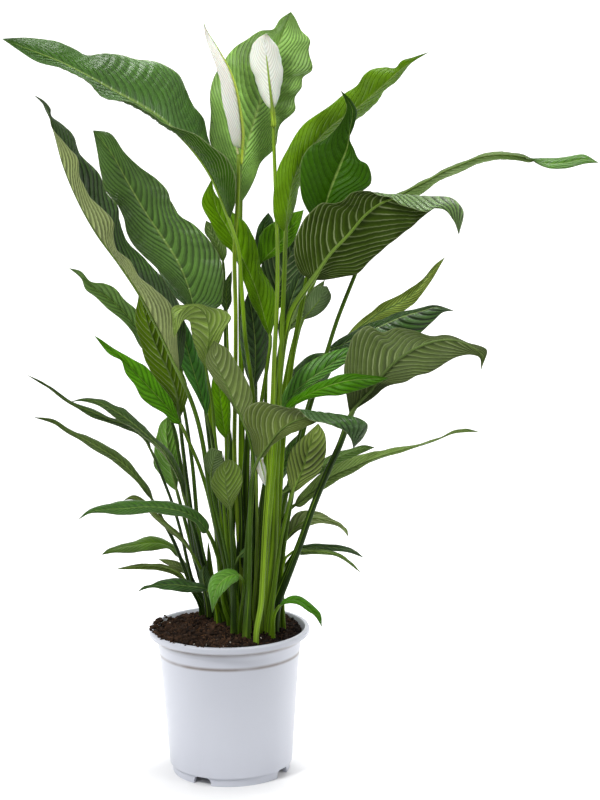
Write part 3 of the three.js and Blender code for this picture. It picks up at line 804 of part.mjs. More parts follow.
let soil = soilBody();
const shoots = new Map();
for (const row of LEAVES) {
  const shape = shapeOf(row);
  const leaf = leafRings(shape);
  const hole = skin(leafRings(shape, HOLE_GAP).lower);
  soil = soil.subtract(solid(hole));
  const name = row.shoot || row.name;
  const body = solid(skin(leaf.rings, leaf.tip));
  shoots.set(name, shoots.has(name) ? shoots.get(name).add(body) : body);
}
for (const [name, body] of shoots) addMesh(name, geometryOf(body), YOUNG.has(name) ? 'young' : 'leaf');
for (const stalk of STALKS) {
  soil = soil.subtract(solid(skin(stalkRings(stalk, HOLE_GAP).slice(0, 2))));
  addMesh(stalk.name, geometryOf(solid(skin(stalkRings(stalk)))), 'stalk');
}
for (const spathe of SPATHES) {
  const leaf = leafRings(shapeOf(spathe));
  addMesh(spathe.name, geometryOf(solid(skin(leaf.rings, leaf.tip))), 'spathe');
}
for (const spadix of SPADICES) addMesh(spadix.name, geometryOf(solid(spadixGeometry(spadix))), 'spadix', 0.6);
addMesh('soil', geometryOf(soil), 'soil', 0.95);

export default group;
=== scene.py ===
import math
import random
import bpy
import numpy as np
from mathutils import Matrix, Vector, noise


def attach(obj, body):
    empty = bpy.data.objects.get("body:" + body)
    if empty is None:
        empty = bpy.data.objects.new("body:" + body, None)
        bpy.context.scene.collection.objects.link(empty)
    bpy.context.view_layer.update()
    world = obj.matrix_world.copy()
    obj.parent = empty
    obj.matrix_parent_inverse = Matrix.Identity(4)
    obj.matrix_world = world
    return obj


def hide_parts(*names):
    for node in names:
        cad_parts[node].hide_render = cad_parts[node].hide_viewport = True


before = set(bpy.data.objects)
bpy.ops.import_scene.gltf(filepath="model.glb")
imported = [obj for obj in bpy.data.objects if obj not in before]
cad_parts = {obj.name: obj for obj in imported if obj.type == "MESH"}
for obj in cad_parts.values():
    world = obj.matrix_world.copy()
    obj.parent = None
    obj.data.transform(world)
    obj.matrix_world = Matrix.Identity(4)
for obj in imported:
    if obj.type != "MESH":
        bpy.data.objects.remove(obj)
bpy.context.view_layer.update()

# Potted peace lily: a finer pot, soil, leaves, stalks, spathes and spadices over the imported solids.
MM = 0.001  # metres in a millimetre
FULL_TURN = 2 * math.pi
# The readings below are the same as the solids': millimetres, read in the plane y = 0 from the eye point.
EYE = np.array([95.0, -2500.0, 900.0])
ROOT_Z = 168.0  # the stalks' lower ends, inside the soil
COLLAR_Z = 203.0  # the stalks stand upright up to here
LEAD = 0.12  # how far the blade's edges run ahead of its midrib
# Leaves whose blade is wider than this on one side are large. Steps are in mm: between the blade's rows
# and between its side veins. Columns are those of one half.
LARGE_WIDTH = 15.0
# bands scales the painted shade and light across the side veins.
LARGE_LEAF = {"row_step": 1.7, "columns": 11, "vein_step": 13.5, "bands": 1.0}
SMALL_LEAF = {"row_step": 2.4, "columns": 7, "vein_step": 8.5, "bands": 0.75}
# Depth in mm of a blade's forms: the swelling between veins, the sunken midrib, fine waves, the edge.
QUILT = 1.9
GROOVE = 0.55
CRINKLE = 0.35
RUFFLE = 0.9
BLADE_THICKNESS = 0.7
RIB = 0.55  # the midrib's radius under the blade, in radii of the stalk's neck
STALK_FLATNESS = 0.72
FINE = 1.0
SPATHE_FINE = 1.3
# Screen colours, 0 to 255.
OLIVE = (88, 112, 52)
STALK_DARK = (22, 48, 4)
STALK_BRIGHT = (112, 152, 16)


def readings(text):
    """Points written as "x height depth, x height depth"."""
    return [[float(number) for number in point.split()] for point in text.split(",")]


def leaf_row(name, radius, sag, wave, stem, mid, left, right, **more):
    """One leaf's readings and look; the depths of left and right count from the midrib's.

    radius is the stalk's at its foot and at the blade. sag bends the two halves and wave their edges.
    face is -1 where the photograph shows the underside. bands (how strong the painted shade and light
    across the side veins is), veins (how many) and stalk ("dark" or "bright") are given where the leaf's
    size and name don't set them.
    """
    row = {"shoot": name, "face": 1, "root": None, "start": None, "lead": LEAD, "bands": None,
           "veins": None, "upper": (46, 84, 36), "under": OLIVE, "stalk": None, "young": False}
    row.update(name=name, radius=radius, sag=sag, wave=wave, **more)
    for key, text in (("stem", stem), ("mid", mid), ("left", left), ("right", right)):
        row[key] = readings(text)
    return row


LEAVES = [
    leaf_row("leaf_high_left", root=(28, -14), radius=(5.0, 3.2), sag=(12, -3), wave=1.5,
        # Its under colour is painted shade: the dark green of the half below the midrib, which lies in
        # shadow.
        upper=(54, 98, 38), under=(54, 94, 14), bands=0.55, veins=30, stalk="bright",
        stem="30 330 -14, 36 420 -10, 35 503 -4, 27 568 0, 23 630 3, 18 692 4",
        mid="""8 722 4, -4 756 2, -14 778 0, -31 804 -4, -52 828 -8, -75 849 -12, -104 868 -18,
        -133 884 -24, -160 900 -30, -200 921 -40, -240 937 -50, -273 950 -60""",
        left="""13 737 -14, 17 755 -24, 16 776 -28, 7 796 -30, -12 815 -30, -34 830 -28,
        -61 838 -26, -89 857 -24, -121 871 -22, -151 879 -20, -168 896 -16, -200 914 -12,
        -226 919 -10, -252 936 -5""",
        right="""8 745 10, 2 775 20, -12 808 26, -22 845 28, -39 872 30, -51 902 32, -74 917 32,
        -109 925 30, -135 930 28, -165 930 22, -205 946 14, -238 951 6"""),
    leaf_row("leaf_high_back", root=(14, 56), radius=(5.0, 3.0), sag=(-3, -3), wave=3,
        upper=(116, 166, 104), bands=0.8, veins=27,
        stem="18 330 58, 20 500 58, 21 650 58",
        mid="22 742 58, 25 788 60, 39 840 66, 50 874 70, 61 908 75, 73 942 80, 88 980 86",
        left="""12 752 -4, -2 780 -8, -15 819 -10, -14 856 -10, -15 873 -12, -6 906 -10, 3 919 -10,
        14 934 -8, 32 946 -10, 50 957 -6, 66 959 -8, 75 971 -4""",
        right="""32 758 -6, 42 776 -10, 49 794 -8, 66 813 -12, 74 840 -8, 92 861 -12, 92 874 -6,
        101 886 -10, 102 899 -6, 113 908 -10, 110 934 -4, 112 943 -8, 100 958 -6, 93 973 -4"""),
    leaf_row("leaf_high_right", root=(44, -32), radius=(4.0, 3.0), sag=(-4, 0), wave=2,
        upper=(84, 130, 6), under=(96, 134, 14), bands=0.45, stalk="bright", young=True,
        stem="50 300 -34, 60 400 -36, 66 470 -38, 71 540 -36, 74 600 -27, 77 655 -21",
        mid="""79 704 -14, 83 742 -11, 93 780 -6, 110 808 2, 135 836 14, 170 861 28, 200 886 40,
        222 906 48, 259 929 58""",
        left="""67 718 -6, 63 740 -8, 64 762 -8, 68 780 -8, 81 809 -8, 92 828 -6, 107 845 -6,
        130 860 -4, 143 870 -2, 157 881 2, 170 889 4, 178 901 2, 187 908 0, 205 911 2, 219 910 4,
        224 917 2, 240 923 0""",
        right="""90 738 14, 102 772 24, 122 800 30, 148 826 30, 178 853 26, 206 881 20, 228 905 12,
        246 921 5"""),
    leaf_row("leaf_dark_right", root=(54, -4), radius=(4.2, 2.8), sag=(-4, -4), wave=1.5,
        upper=(44, 88, 0), bands=0.7,
        stem="62 300 0, 74 450 6, 88 560 6, 104 640 -2, 115 690 -7",
        mid="""122 712 -8, 130 742 -8, 139 768 -8, 149 791 -8, 157 810 -8, 161 835 -10,
        164 857 -14, 149 883 -24""",
        left="""111 726 -4, 101 745 -6, 97 768 -8, 98 790 -8, 104 806 -8, 112 815 -6, 128 822 -6,
        140 832 -6, 149 844 -4, 157 862 -2""",
        right="""146 724 -4, 170 752 -8, 187 768 -8, 187 779 -8, 182 791 -8, 173 796 -6,
        165 810 -4, 160 821 0, 165 839 4, 170 857 5, 162 871 2"""),
    leaf_row("leaf_broad_right", face=-1, root=(47, -17), radius=(5.2, 3.8), sag=(4, 4), wave=2,
        upper=(70, 102, 66), under=(56, 78, 16), bands=1.5,
        stem="58 300 -16, 62 380 -17, 66 450 -18, 70 530 -20, 77 575 -22, 85 604 -24",
        mid="""112 645 -28, 135 678 -33, 160 704 -40, 182 729 -50, 209 746 -62, 235 750 -75,
        265 750 -90, 290 747 -104, 303 733 -112, 298 701 -118""",
        left="""97 654 4, 90 672 8, 90 693 8, 99 717 8, 112 733 6, 124 742 4, 140 741 6, 151 745 2,
        163 756 4, 180 757 2, 195 751 -2, 210 749 -10, 224 741 -18, 240 733 -24, 256 730 -24,
        268 735 -18, 281 732 -14, 290 720 -8""",
        right="""129 645 5, 148 648 6, 168 652 6, 183 666 8, 201 682 6, 219 697 8, 236 709 8,
        250 722 10, 262 731 12, 276 739 14, 292 740 12, 301 727 6"""),
    leaf_row("leaf_far_right", face=-1, root=(62, -12), radius=(3.6, 2.6), sag=(2, 2), wave=1,
        upper=(70, 120, 50), under=(92, 122, 62),
        stem="""72 300 -2, 84 370 3, 97 440 8, 120 520 13, 131 555 14, 144 595 14, 155 623 13,
        166 650 12, 188 705 12""",
        mid="""207 737 12, 228 753 10, 258 768 7, 280 780 5, 300 788 3, 320 796 1, 340 800 -1,
        360 800 -3, 380 797 -5, 392 793 -6, 410 789 -8, 430 790 -9, 455 794 -10, 474 790 -11""",
        left="""214 750 9, 232 758 11, 251 770 12, 270 778 13, 296 791 12, 325 801 10, 350 805 8,
        372 803 5, 388 796 2, 396 790 -4, 410 783 -9, 430 783 -9, 452 788 -6""",
        right="""228 742 -7, 249 752 -10, 271 767 -12, 303 782 -12, 325 790 -10, 350 796 -8,
        372 793 -5, 388 791 -2, 396 795 4, 410 796 9, 432 798 9, 455 800 6"""),
    leaf_row("leaf_bright_right", face=-1, root=(46, 22), radius=(3.0, 2.2), sag=(2, 2), wave=1,
        upper=(96, 140, 40), under=(152, 180, 78), bands=1.5, young=True,
        stem="62 300 30, 84 400 36, 104 480 40, 130 545 42",
        mid="""150 566 42, 175 586 41, 197 602 40, 221 614 38, 243 629 36, 259 649 34,
        281 673 30""",
        left="""158 577 2, 172 592 4, 188 605 4, 203 616 4, 214 621 4, 234 632 4, 250 643 3,
        257 651 2, 270 665 1""",
        right="168 576 2, 191 588 4, 209 597 4, 233 607 4, 243 616 3, 257 633 2, 270 654 1"),
    leaf_row("leaf_ribbed_left", root=(-8, 36), radius=(4.6, 3.2), sag=(-4, -5), wave=1.5,
        upper=(68, 106, 60), bands=0.95,
        stem="-6 340 32, -16 430 28, -24 510 24, -31 570 20",
        mid="""-38 606 18, -46 637 18, -58 668 18, -79 703 20, -101 737 22, -121 773 25,
        -138 805 28, -162 836 32""",
        left="""-49 619 -3, -61 632 -6, -74 648 -8, -88 664 -8, -101 677 -8, -116 693 -10,
        -122 706 -10, -126 726 -8, -132 739 -10, -148 761 -8, -154 785 -8, -158 815 -4""",
        right="""-22 606 -2, -6 613 -4, -1 635 -8, -1 655 -10, -7 679 -8, -22 702 -10, -38 717 -8,
        -54 727 -10, -64 742 -8, -70 760 -8, -80 771 -8, -105 791 -6, -123 808 -6, -142 833 -2"""),
    leaf_row("leaf_twisted_left", root=(6, 0), radius=(5.0, 3.4), sag=(3, -2), wave=1,
        upper=(42, 72, 34), under=(132, 148, 100), bands=1.3,
        stem="-8 300 -10, -17 340 -12, -24 390 -15, -29 430 -20, -36 465 -26, -46 497 -32",
        mid="""-59 527 -36, -70 553 -37, -88 592 -38, -106 627 -40, -131 666 -42, -162 710 -44,
        -185 754 -46, -200 793 -48, -210 832 -50, -216 855 -52, -223 868 -54, -234 880 -58""",
        left="""-60 548 -6, -61 572 -10, -62 598 -12, -70 617 -14, -90 637 -16, -106 648 -16,
        -117 668 -14, -135 688 -16, -140 704 -14, -139 720 -16, -153 739 -16, -170 755 -14,
        -179 776 -14, -183 803 -12, -200 822 -8, -212 838 -4, -217 853 2, -220 860 3,
        -227 875 1""",
        right="""-53 550 8, -50 580 12, -54 606 16, -64 628 18, -79 649 18, -92 665 20,
        -106 680 20, -124 699 20, -131 723 22, -132 738 20, -148 760 22, -158 786 20, -179 806 18,
        -187 830 16, -201 845 10, -214 855 2, -214 863 -3, -221 872 -2"""),
    leaf_row("leaf_small_left", root=(-20, 52), radius=(2.8, 2.0), sag=(-2, -2), wave=1,
        upper=(82, 122, 72), bands=0.45, young=True,
        stem="-34 250 46, -44 300 42, -52 350 38, -59 405 34, -66 445 31, -76 490 29",
        mid="""-95 548 27, -104 570 26, -117 592 24, -131 609 22, -148 624 20, -165 637 18,
        -180 651 16, -197 663 14""",
        left="""-108 561 -3, -118 579 -5, -130 595 -6, -149 610 -6, -163 625 -5, -177 636 -3,
        -181 648 -1""",
        right="""-97 573 -3, -104 592 -5, -114 611 -6, -127 622 -6, -141 638 -6, -151 643 -5,
        -171 646 -3, -182 659 -1"""),
    leaf_row("leaf_olive_left", face=-1, root=(-26, 28), radius=(3.6, 2.4), sag=(2, 2), wave=1.5,
        upper=(60, 100, 20), under=(78, 108, 8), bands=0.6, stalk="dark",
        stem="-36 270 26, -44 320 20, -52 385 12, -57 435 7",
        mid="""-60 467 2, -64 503 0, -73 529 -1, -84 552 -2, -93 575 -3, -101 602 -4,
        -108 640 -6""",
        left="""-67 480 3, -79 500 5, -90 519 6, -100 537 6, -105 552 6, -108 568 5, -114 586 4,
        -113 606 3, -110 624 2""",
        right="-54 480 3, -49 495 5, -51 517 6, -62 547 6, -72 576 5, -83 602 4, -97 626 2"),
    leaf_row("leaf_bright_left", root=(-4, 22), radius=(3.2, 2.2), sag=(-2, -2), wave=2,
        upper=(66, 126, 16), under=(100, 150, 40), bands=1.1, young=True,
        stem="-7 270 16, -17 330 10, -28 380 4, -38 412 -3, -48 436 -9",
        mid="-58 459 -14, -73 480 -16, -95 505 -18, -117 529 -20, -139 551 -22, -167 576 -26",
        left="""-70 463 -3, -80 474 -5, -95 484 -6, -110 497 -6, -118 514 -6, -129 530 -5,
        -134 542 -4, -150 554 -2""",
        right="""-61 471 -2, -67 486 -4, -77 504 -5, -91 522 -5, -106 539 -5, -118 546 -4,
        -135 554 -3, -150 566 -2"""),
    leaf_row("leaf_thin_left", root=(-28, 40), radius=(2.8, 2.0), sag=(2, -1), wave=1,
        upper=(52, 84, 36), stalk="dark",
        stem="-46 250 34, -53 279 30, -60 315 24, -71 356 14, -83 390 8",
        mid="""-97 426 4, -108 447 3, -124 459 2, -148 467 0, -170 477 -3, -190 485 -6,
        -214 500 -10, -235 517 -14, -254 526 -18""",
        left="""-103 436 -4, -116 449 -6, -133 456 -7, -155 464 -7, -177 473 -5, -196 485 -3,
        -224 506 -2""",
        right="""-101 443 4, -112 457 6, -130 466 7, -148 470 6, -162 477 6, -180 484 4,
        -205 496 2, -226 512 1"""),
    leaf_row("leaf_arched_left", root=(-16, 26), radius=(3.8, 2.4), sag=(3, -1), wave=1,
        upper=(50, 82, 34), stalk="dark",
        stem="-27 255 14, -34 280 9, -42 318 3, -50 345 -3",
        mid="""-55 362 -8, -61 388 -12, -72 412 -15, -85 430 -17, -104 448 -20, -125 466 -22,
        -148 482 -24, -170 492 -27, -187 494 -30, -201 490 -34""",
        left="""-61 380 -4, -69 402 -7, -80 420 -9, -95 436 -10, -114 452 -10, -134 463 -9,
        -150 476 -7, -171 488 -4, -188 492 -2""",
        right="""-55 384 4, -62 405 7, -74 425 9, -90 442 10, -104 456 10, -119 470 10, -130 482 9,
        -142 485 8, -158 493 6, -178 496 3"""),
    leaf_row("leaf_low_left", root=(-38, 50), radius=(3.2, 2.2), sag=(2, -1), wave=1,
        upper=(66, 94, 46), stalk="dark",
        stem="-50 250 42, -60 278 37, -71 308 31, -82 330 25",
        mid="""-95 358 18, -105 376 14, -119 394 10, -137 412 5, -160 428 0, -190 446 -6,
        -210 457 -10, -228 469 -14, -247 471 -18""",
        left="""-104 368 -4, -119 387 -7, -136 404 -8, -157 419 -8, -178 433 -6, -200 447 -4,
        -220 461 -2""",
        right="""-99 373 4, -112 393 6, -122 408 8, -134 419 8, -156 435 7, -180 446 6, -204 457 3,
        -224 469 1"""),
    leaf_row("leaf_behind_left", face=-1, root=(-20, 70), radius=(3.2, 2.2), sag=(2, 2), wave=1,
        # Its under colour is brighter than its own: painted light for a leaf that lies in the shade of
        # others.
        upper=(62, 120, 40), under=(100, 152, 52), bands=0.5, young=True,
        stem="-40 270 72, -51 315 68, -60 352 62",
        mid="-65 372 58, -71 398 54, -75 428 50, -77 452 46, -76 470 42",
        left="-75 380 2, -86 393 3, -94 408 4, -94 424 4, -90 446 3, -84 463 2",
        right="-63 388 2, -61 410 3, -61 432 3, -64 452 2, -70 465 1"),
    leaf_row("leaf_broad_low_left", root=(2, -12), radius=(3.8, 2.6), sag=(-2, -3), wave=1,
        upper=(54, 98, 40),
        stem="-4 215 -14, -9 245 -17, -11 275 -22, -18 300 -28",
        mid="""-26 318 -34, -38 333 -40, -56 344 -47, -80 350 -56, -107 352 -67, -134 350 -79,
        -158 349 -91, -177 346 -101, -194 336 -110""",
        left="""-31 316 -4, -41 329 -8, -58 338 -10, -83 342 -12, -110 344 -12, -126 342 -11,
        -140 341 -9, -160 345 -6, -180 343 -3""",
        right="""-24 325 3, -33 340 7, -48 351 9, -66 357 11, -91 360 12, -118 361 11, -145 359 9,
        -166 354 6, -184 346 2"""),
    leaf_row("leaf_slim_left", face=-1, root=(-7, 8), radius=(2.6, 1.8), sag=(1, 1), wave=0.5,
        upper=(60, 90, 36), under=(92, 112, 52),
        stem="-22 235 4, -33 262 3",
        mid="""-46 288 -1, -60 309 -7, -74 323 -14, -88 335 -17, -101 347 -20, -112 360 -23,
        -123 365 -26, -135 361 -30""",
        left="-54 297 2, -68 312 4, -82 324 5, -96 338 4, -110 355 2, -123 362 1",
        right="-50 299 2, -64 318 4, -79 332 5, -93 345 4, -107 361 2, -122 368 1"),
    leaf_row("leaf_curved_low_left", root=(-30, 61), radius=(2.8, 2.0), sag=(-2, -2), wave=1,
        upper=(70, 110, 30),
        stem="-40 240 58, -50 262 54",
        mid="""-61 283 50, -73 297 46, -86 303 42, -103 304 36, -122 301 29, -141 298 22,
        -155 294 17, -165 289 13""",
        left="""-67 286 -4, -79 296 -8, -93 295 -10, -106 293 -11, -120 292 -10, -136 291 -7,
        -152 291 -3""",
        right="""-64 293 3, -73 303 6, -84 310 8, -98 313 9, -112 311 8, -128 305 6, -144 301 4,
        -156 297 1"""),
    leaf_row("leaf_thin_low_left", shoot="shoot_low_left", face=-1, root=(-40, 64),
        radius=(2.6, 1.6), sag=(1, 1), wave=0.5, upper=(60, 90, 36), under=(96, 118, 56),
        stem="-45 235 62",
        mid="""-55 252 60, -64 262 56, -75 268 52, -88 272 47, -104 273 41, -122 272 34,
        -146 270 26""",
        left="-63 256 -2, -75 263 -4, -90 267 -5, -108 269 -5, -126 269 -3",
        right="-60 262 2, -72 271 4, -88 276 5, -106 277 5, -126 275 3"),
    leaf_row("leaf_pale_low_left", shoot="shoot_low_left", face=-1, root=(-40, 64),
        radius=(2.6, 1.6), sag=(1, 1), wave=0.5, upper=(80, 110, 50), under=(104, 124, 64),
        stem="-45 236 65, -50 252 70",
        mid="-55 262 74, -62 270 76, -71 275 78, -81 279 80, -92 283 82",
        left="-63 265 1, -72 270 2, -80 275 1",
        right="-57 271 1, -65 279 2, -76 282 1"),
    leaf_row("leaf_soil_left", shoot="shoot_soil_left", root=(-13, -7), radius=(3.0, 2.0),
        sag=(-2, -2), wave=1, upper=(42, 80, 32),
        stem="-17 222 -9, -20 233 -11",
        mid="""-26 240 -13, -37 244 -15, -53 246 -16, -70 248 -20, -86 248 -23, -99 247 -26,
        -109 245 -28, -119 239 -31""",
        left="-36 238 -4, -52 238 -7, -69 239 -8, -83 242 -6, -96 244 -3, -108 243 -1",
        right="-33 249 3, -46 252 6, -62 256 8, -77 257 7, -89 254 4, -100 249 2, -110 247 1"),
    leaf_row("leaf_soil_left_upright", shoot="shoot_soil_left", face=-1, root=(-13, -7),
        radius=(3.0, 2.0), sag=(1, 1), wave=0.5, upper=(44, 78, 36), under=(60, 92, 48),
        stem="-19 222 -5",
        mid="-26 234 -6, -30 244 -7, -33 256 -8, -33 266 -9, -31 274 -10",
        left="-33 243 1, -38 253 2, -38 264 1",
        right="-24 245 1, -24 257 2, -27 268 1"),
    leaf_row("leaf_front_drooping", root=(15, -44), radius=(2.6, 1.8), sag=(-3, -3), wave=0.5,
        upper=(78, 136, 46), bands=0.35, young=True,
        stem="16 215 -46, 19 238 -52, 19 253 -58",
        mid="14 260 -63, 4 260 -69, -6 255 -75, -14 246 -80, -19 234 -84, -22 210 -86",
        left="13 254 -2, 4 248 -4, -4 240 -5, -13 230 -4, -19 218 -2",
        right="10 266 4, -2 269 7, -14 265 8, -23 257 7, -27 245 5, -25 228 2"),
    leaf_row("leaf_right_rim", root=(58, -53), radius=(2.4, 1.8), sag=(-2, -2), wave=0.5,
        upper=(60, 118, 28), stalk="bright",
        stem="58 203 -53",
        mid="""65 218 -52, 76 225 -51, 88 226 -50, 98 220 -49, 108 211 -48, 118 202 -47,
        121 189 -46""",
        left="69 224 4, 78 231 7, 90 232 8, 100 227 7, 112 217 4, 120 206 2",
        right="73 221 -4, 84 221 -7, 94 218 -8, 104 210 -7, 112 204 -4"),
    leaf_row("leaf_dark_low_right", root=(62, 12), radius=(2.6, 1.8), sag=(-2, -2), wave=0.5,
        upper=(40, 72, 30),
        stem="66 250 10, 74 272 8, 82 284 6",
        mid="88 292 4, 102 296 1, 122 297 -2, 146 295 -5, 165 291 -8, 176 282 -10",
        left="92 297 3, 106 301 5, 124 301 5, 145 299 3, 160 295 1",
        right="96 291 -3, 114 291 -4, 134 291 -3, 152 290 -2"),
    leaf_row("leaf_slim_low_right", face=-1, root=(70, -14), radius=(2.4, 1.6), sag=(1, 1),
        wave=0.5, upper=(60, 100, 40), under=(90, 120, 60),
        stem="70 235 -15, 70 262 -16, 74 282 -17",
        mid="""84 291 -18, 98 291 -19, 114 291 -20, 130 289 -22, 146 285 -24, 160 276 -27,
        172 262 -30""",
        left="92 294 3, 104 295 4, 118 294 4, 134 292 2, 148 286 1",
        right="92 287 -2, 108 287 -3, 124 287 -3, 140 284 -2"),
    leaf_row("leaf_pale_right", face=-1, root=(56, 24), radius=(2.8, 2.0), sag=(2, 2), wave=0.8,
        upper=(80, 120, 60), under=(130, 150, 100), bands=0.5,
        stem="58 240 24, 64 270 21, 70 292 18",
        mid="""74 303 15, 84 318 11, 98 330 7, 112 335 3, 128 332 -2, 143 327 -7, 154 320 -11,
        156 310 -14""",
        left="76 316 4, 82 334 8, 92 344 9, 104 346 9, 120 343 8, 134 335 5, 148 327 2",
        right="82 311 -3, 94 320 -5, 108 326 -6, 122 328 -5, 138 326 -3, 150 318 -1"),
    leaf_row("leaf_long_right", face=-1, root=(54, 13), radius=(2.8, 2.0), sag=(2, 2), wave=1,
        upper=(60, 110, 40), under=(128, 160, 88),
        stem="56 250 13, 61 300 12, 69 328 11, 78 345 10",
        mid="""86 352 8, 100 362 5, 115 373 1, 130 386 -3, 144 394 -8, 160 400 -12, 176 407 -16,
        200 416 -22, 230 425 -28, 262 434 -34, 290 446 -38, 306 451 -40, 325 447 -42""",
        left="""90 362 2, 104 378 4, 118 392 5, 136 404 6, 160 414 7, 184 422 8, 202 424 7,
        226 429 6, 252 433 4, 274 440 3, 294 450 1""",
        right="""92 350 -3, 108 360 -6, 121 371 -9, 142 384 -11, 162 394 -10, 180 407 -7,
        200 414 -5, 222 421 -4, 246 428 -3, 270 437 -2, 294 445 -1"""),
    leaf_row("leaf_long_right_back", face=-1, root=(44, 34), radius=(2.6, 1.8), sag=(1, 1), wave=1,
        upper=(60, 110, 40), under=(84, 120, 50),
        stem="48 260 28, 52 320 23, 58 352 21",
        mid="66 364 20, 80 373 20, 98 386 19, 118 400 18, 140 413 17, 160 422 16, 191 428 14",
        left="76 376 4, 96 394 6, 118 410 8, 140 421 7, 160 427 5, 178 431 2",
        right="78 368 -1, 98 380 -2, 118 393 -2, 140 405 -2, 160 414 -2, 178 422 -1"),
    leaf_row("leaf_underside_right", face=-1, root=(53, -41), radius=(3.0, 2.2), sag=(3, 3),
        wave=1, upper=(60, 100, 40), under=(118, 142, 66), bands=1.7,
        stem="55 215 -41, 59 242 -42, 64 275 -43, 69 308 -44, 77 343 -46",
        mid="84 368 -49, 92 386 -51, 100 406 -53, 105 424 -55, 112 442 -58, 118 460 -60",
        left="80 378 1, 77 394 2, 78 410 3, 82 424 4, 92 436 4, 105 448 3",
        right="92 373 -3, 106 384 -6, 118 394 -8, 126 412 -9, 128 430 -7, 127 446 -4"),
    leaf_row("leaf_arched_front", face=-1, root=(24, -58), radius=(3.0, 2.3), sag=(3, 3), wave=2,
        lead=0.3, upper=(40, 74, 34), under=(92, 112, 48), bands=0.8,
        stem="26 240 -58, 28 300 -60, 29 350 -62, 32 388 -67",
        mid="""40 412 -73, 54 431 -80, 68 449 -89, 84 461 -98, 102 468 -107, 118 473 -114,
        136 473 -121, 156 470 -127, 172 466 -131, 182 458 -134, 178 445 -138, 163 427 -142""",
        left="""35 423 0, 30 446 4, 22 466 7, 26 480 9, 42 488 10, 60 486 8, 80 481 2, 96 474 -10,
        110 466 -20, 124 459 -24, 140 455 -22, 152 450 -16, 159 441 -8""",
        right="""48 417 -3, 62 434 -7, 80 446 -11, 94 450 -11, 106 457 -8, 118 462 2, 132 464 12,
        146 463 16, 160 462 16, 174 455 12, 177 447 6"""),
    leaf_row("leaf_striped_front", face=-1, root=(24, -37), radius=(3.0, 2.2), sag=(2, 2), wave=1,
        upper=(70, 110, 50), under=(102, 122, 68),
        stem="22 240 -38, 25 310 -40, 31 370 -42, 34 417 -43, 30 440 -43",
        mid="20 468 -42, 12 484 -42, 3 507 -41, -6 526 -40, -12 541 -40, -14 568 -38",
        left="12 476 0, 5 490 1, -5 504 3, -16 519 3, -24 534 2, -24 549 1",
        right="28 475 -2, 34 488 -4, 33 502 -4, 25 520 -4, 14 540 -4, 2 558 -3"),
    leaf_row("leaf_hooked_front", face=-1, root=(12, -20), radius=(2.6, 1.7), sag=(2, 2), wave=0.8,
        upper=(118, 156, 88), under=(126, 156, 72),
        stem="5 250 -22, -1 300 -23, -7 380 -22, -14 437 -22, -18 490 -22, -22 516 -23",
        mid="""-25 534 -24, -22 558 -30, -20 582 -38, -26 604 -47, -38 613 -55, -52 610 -61,
        -62 599 -65, -65 572 -69""",
        left="-32 544 2, -39 562 5, -43 580 5, -46 594 4, -52 595 0, -58 585 -2",
        right="""-16 549 -2, -7 566 -3, 0 584 -2, 8 599 3, -2 608 6, -18 611 7, -34 616 6,
        -52 615 4, -66 612 2, -67 592 1"""),
    leaf_row("leaf_bright_centre", root=(6, 22), radius=(2.6, 1.8), sag=(-2, -2), wave=0.8,
        upper=(88, 146, 2), bands=0.4, stalk="bright", young=True,
        stem="4 300 18, 0 380 13, -1 415 11",
        mid="-1 440 10, -4 465 8, -7 492 6, -9 518 4, -9 542 2",
        left="-11 452 -1, -17 472 -2, -19 496 -2, -16 524 -1",
        right="4 454 1, 6 478 2, 3 504 2, -3 528 1"),
    leaf_row("leaf_glossy_centre", root=(4, 35), radius=(2.8, 2.0), sag=(-3, -3), wave=1,
        upper=(46, 104, 30), stalk="dark",
        stem="-1 300 26, -10 380 16, -19 445 8",
        mid="-25 470 5, -31 495 3, -39 522 1, -46 548 0, -51 572 1, -52 595 3",
        left="-33 488 -2, -44 510 -4, -54 530 -4, -62 552 -4, -62 574 -3",
        right="-21 488 2, -23 510 4, -28 536 6, -37 562 5, -45 582 3"),
    leaf_row("leaf_dark_centre", root=(27, 50), radius=(2.8, 2.0), sag=(-3, -3), wave=1,
        upper=(38, 68, 36), stalk="dark",
        stem="29 300 49, 32 400 48, 35 475 46",
        mid="36 505 46, 38 535 45, 38 570 44, 35 600 44, 30 630 44",
        left="28 520 -2, 21 550 -3, 19 580 -3, 22 608 -2",
        right="45 522 2, 55 548 3, 57 575 3, 48 605 2"),
    leaf_row("leaf_yellow_centre", root=(22, 28), radius=(3.2, 2.4), sag=(-3, -3), wave=1.5,
        upper=(80, 128, 0), under=(96, 134, 10), bands=0.4, stalk="bright", young=True,
        stem="26 300 28, 34 400 26, 44 480 24, 55 545 23",
        mid="""58 572 23, 52 592 24, 44 622 26, 33 653 29, 22 676 32, 6 710 36, -8 736 39,
        -14 774 42""",
        left="""51 582 -2, 43 600 -3, 33 618 -5, 26 640 -5, 20 660 -5, 8 683 -5, -4 695 -5,
        -17 720 -4, -27 744 -2""",
        right="""63 590 3, 67 615 5, 60 640 7, 47 660 8, 43 684 8, 38 702 8, 24 722 7, 6 738 6,
        -10 756 2"""),
    leaf_row("leaf_pale_centre", shoot="shoot_back_centre", face=-1, root=(-2, 56),
        radius=(2.6, 1.8), sag=(2, 2), wave=0.8, upper=(90, 130, 60), under=(120, 150, 90),
        stem="-2 300 58, 0 420 60, 0 540 62, 0 640 61",
        mid="-1 668 60, -7 686 60, -14 704 60, -22 722 60",
        left="-8 678 -1, -16 694 -2, -24 708 -1",
        right="4 680 2, 0 698 3, -10 714 2"),
    leaf_row("leaf_tiny_centre", shoot="shoot_back_centre", face=-1, root=(-2, 56),
        radius=(2.6, 1.4), sag=(1, 1), wave=0.3, upper=(70, 110, 50), under=(90, 120, 70),
        stem="0 300 56, 3 420 52, 4 530 50, 3 580 48",
        mid="3 605 48, 2 622 48, 4 640 48, 10 658 48",
        left="-4 614 -1, -4 630 -1, 3 648 0",
        right="9 618 1, 9 634 1, 10 648 1"),
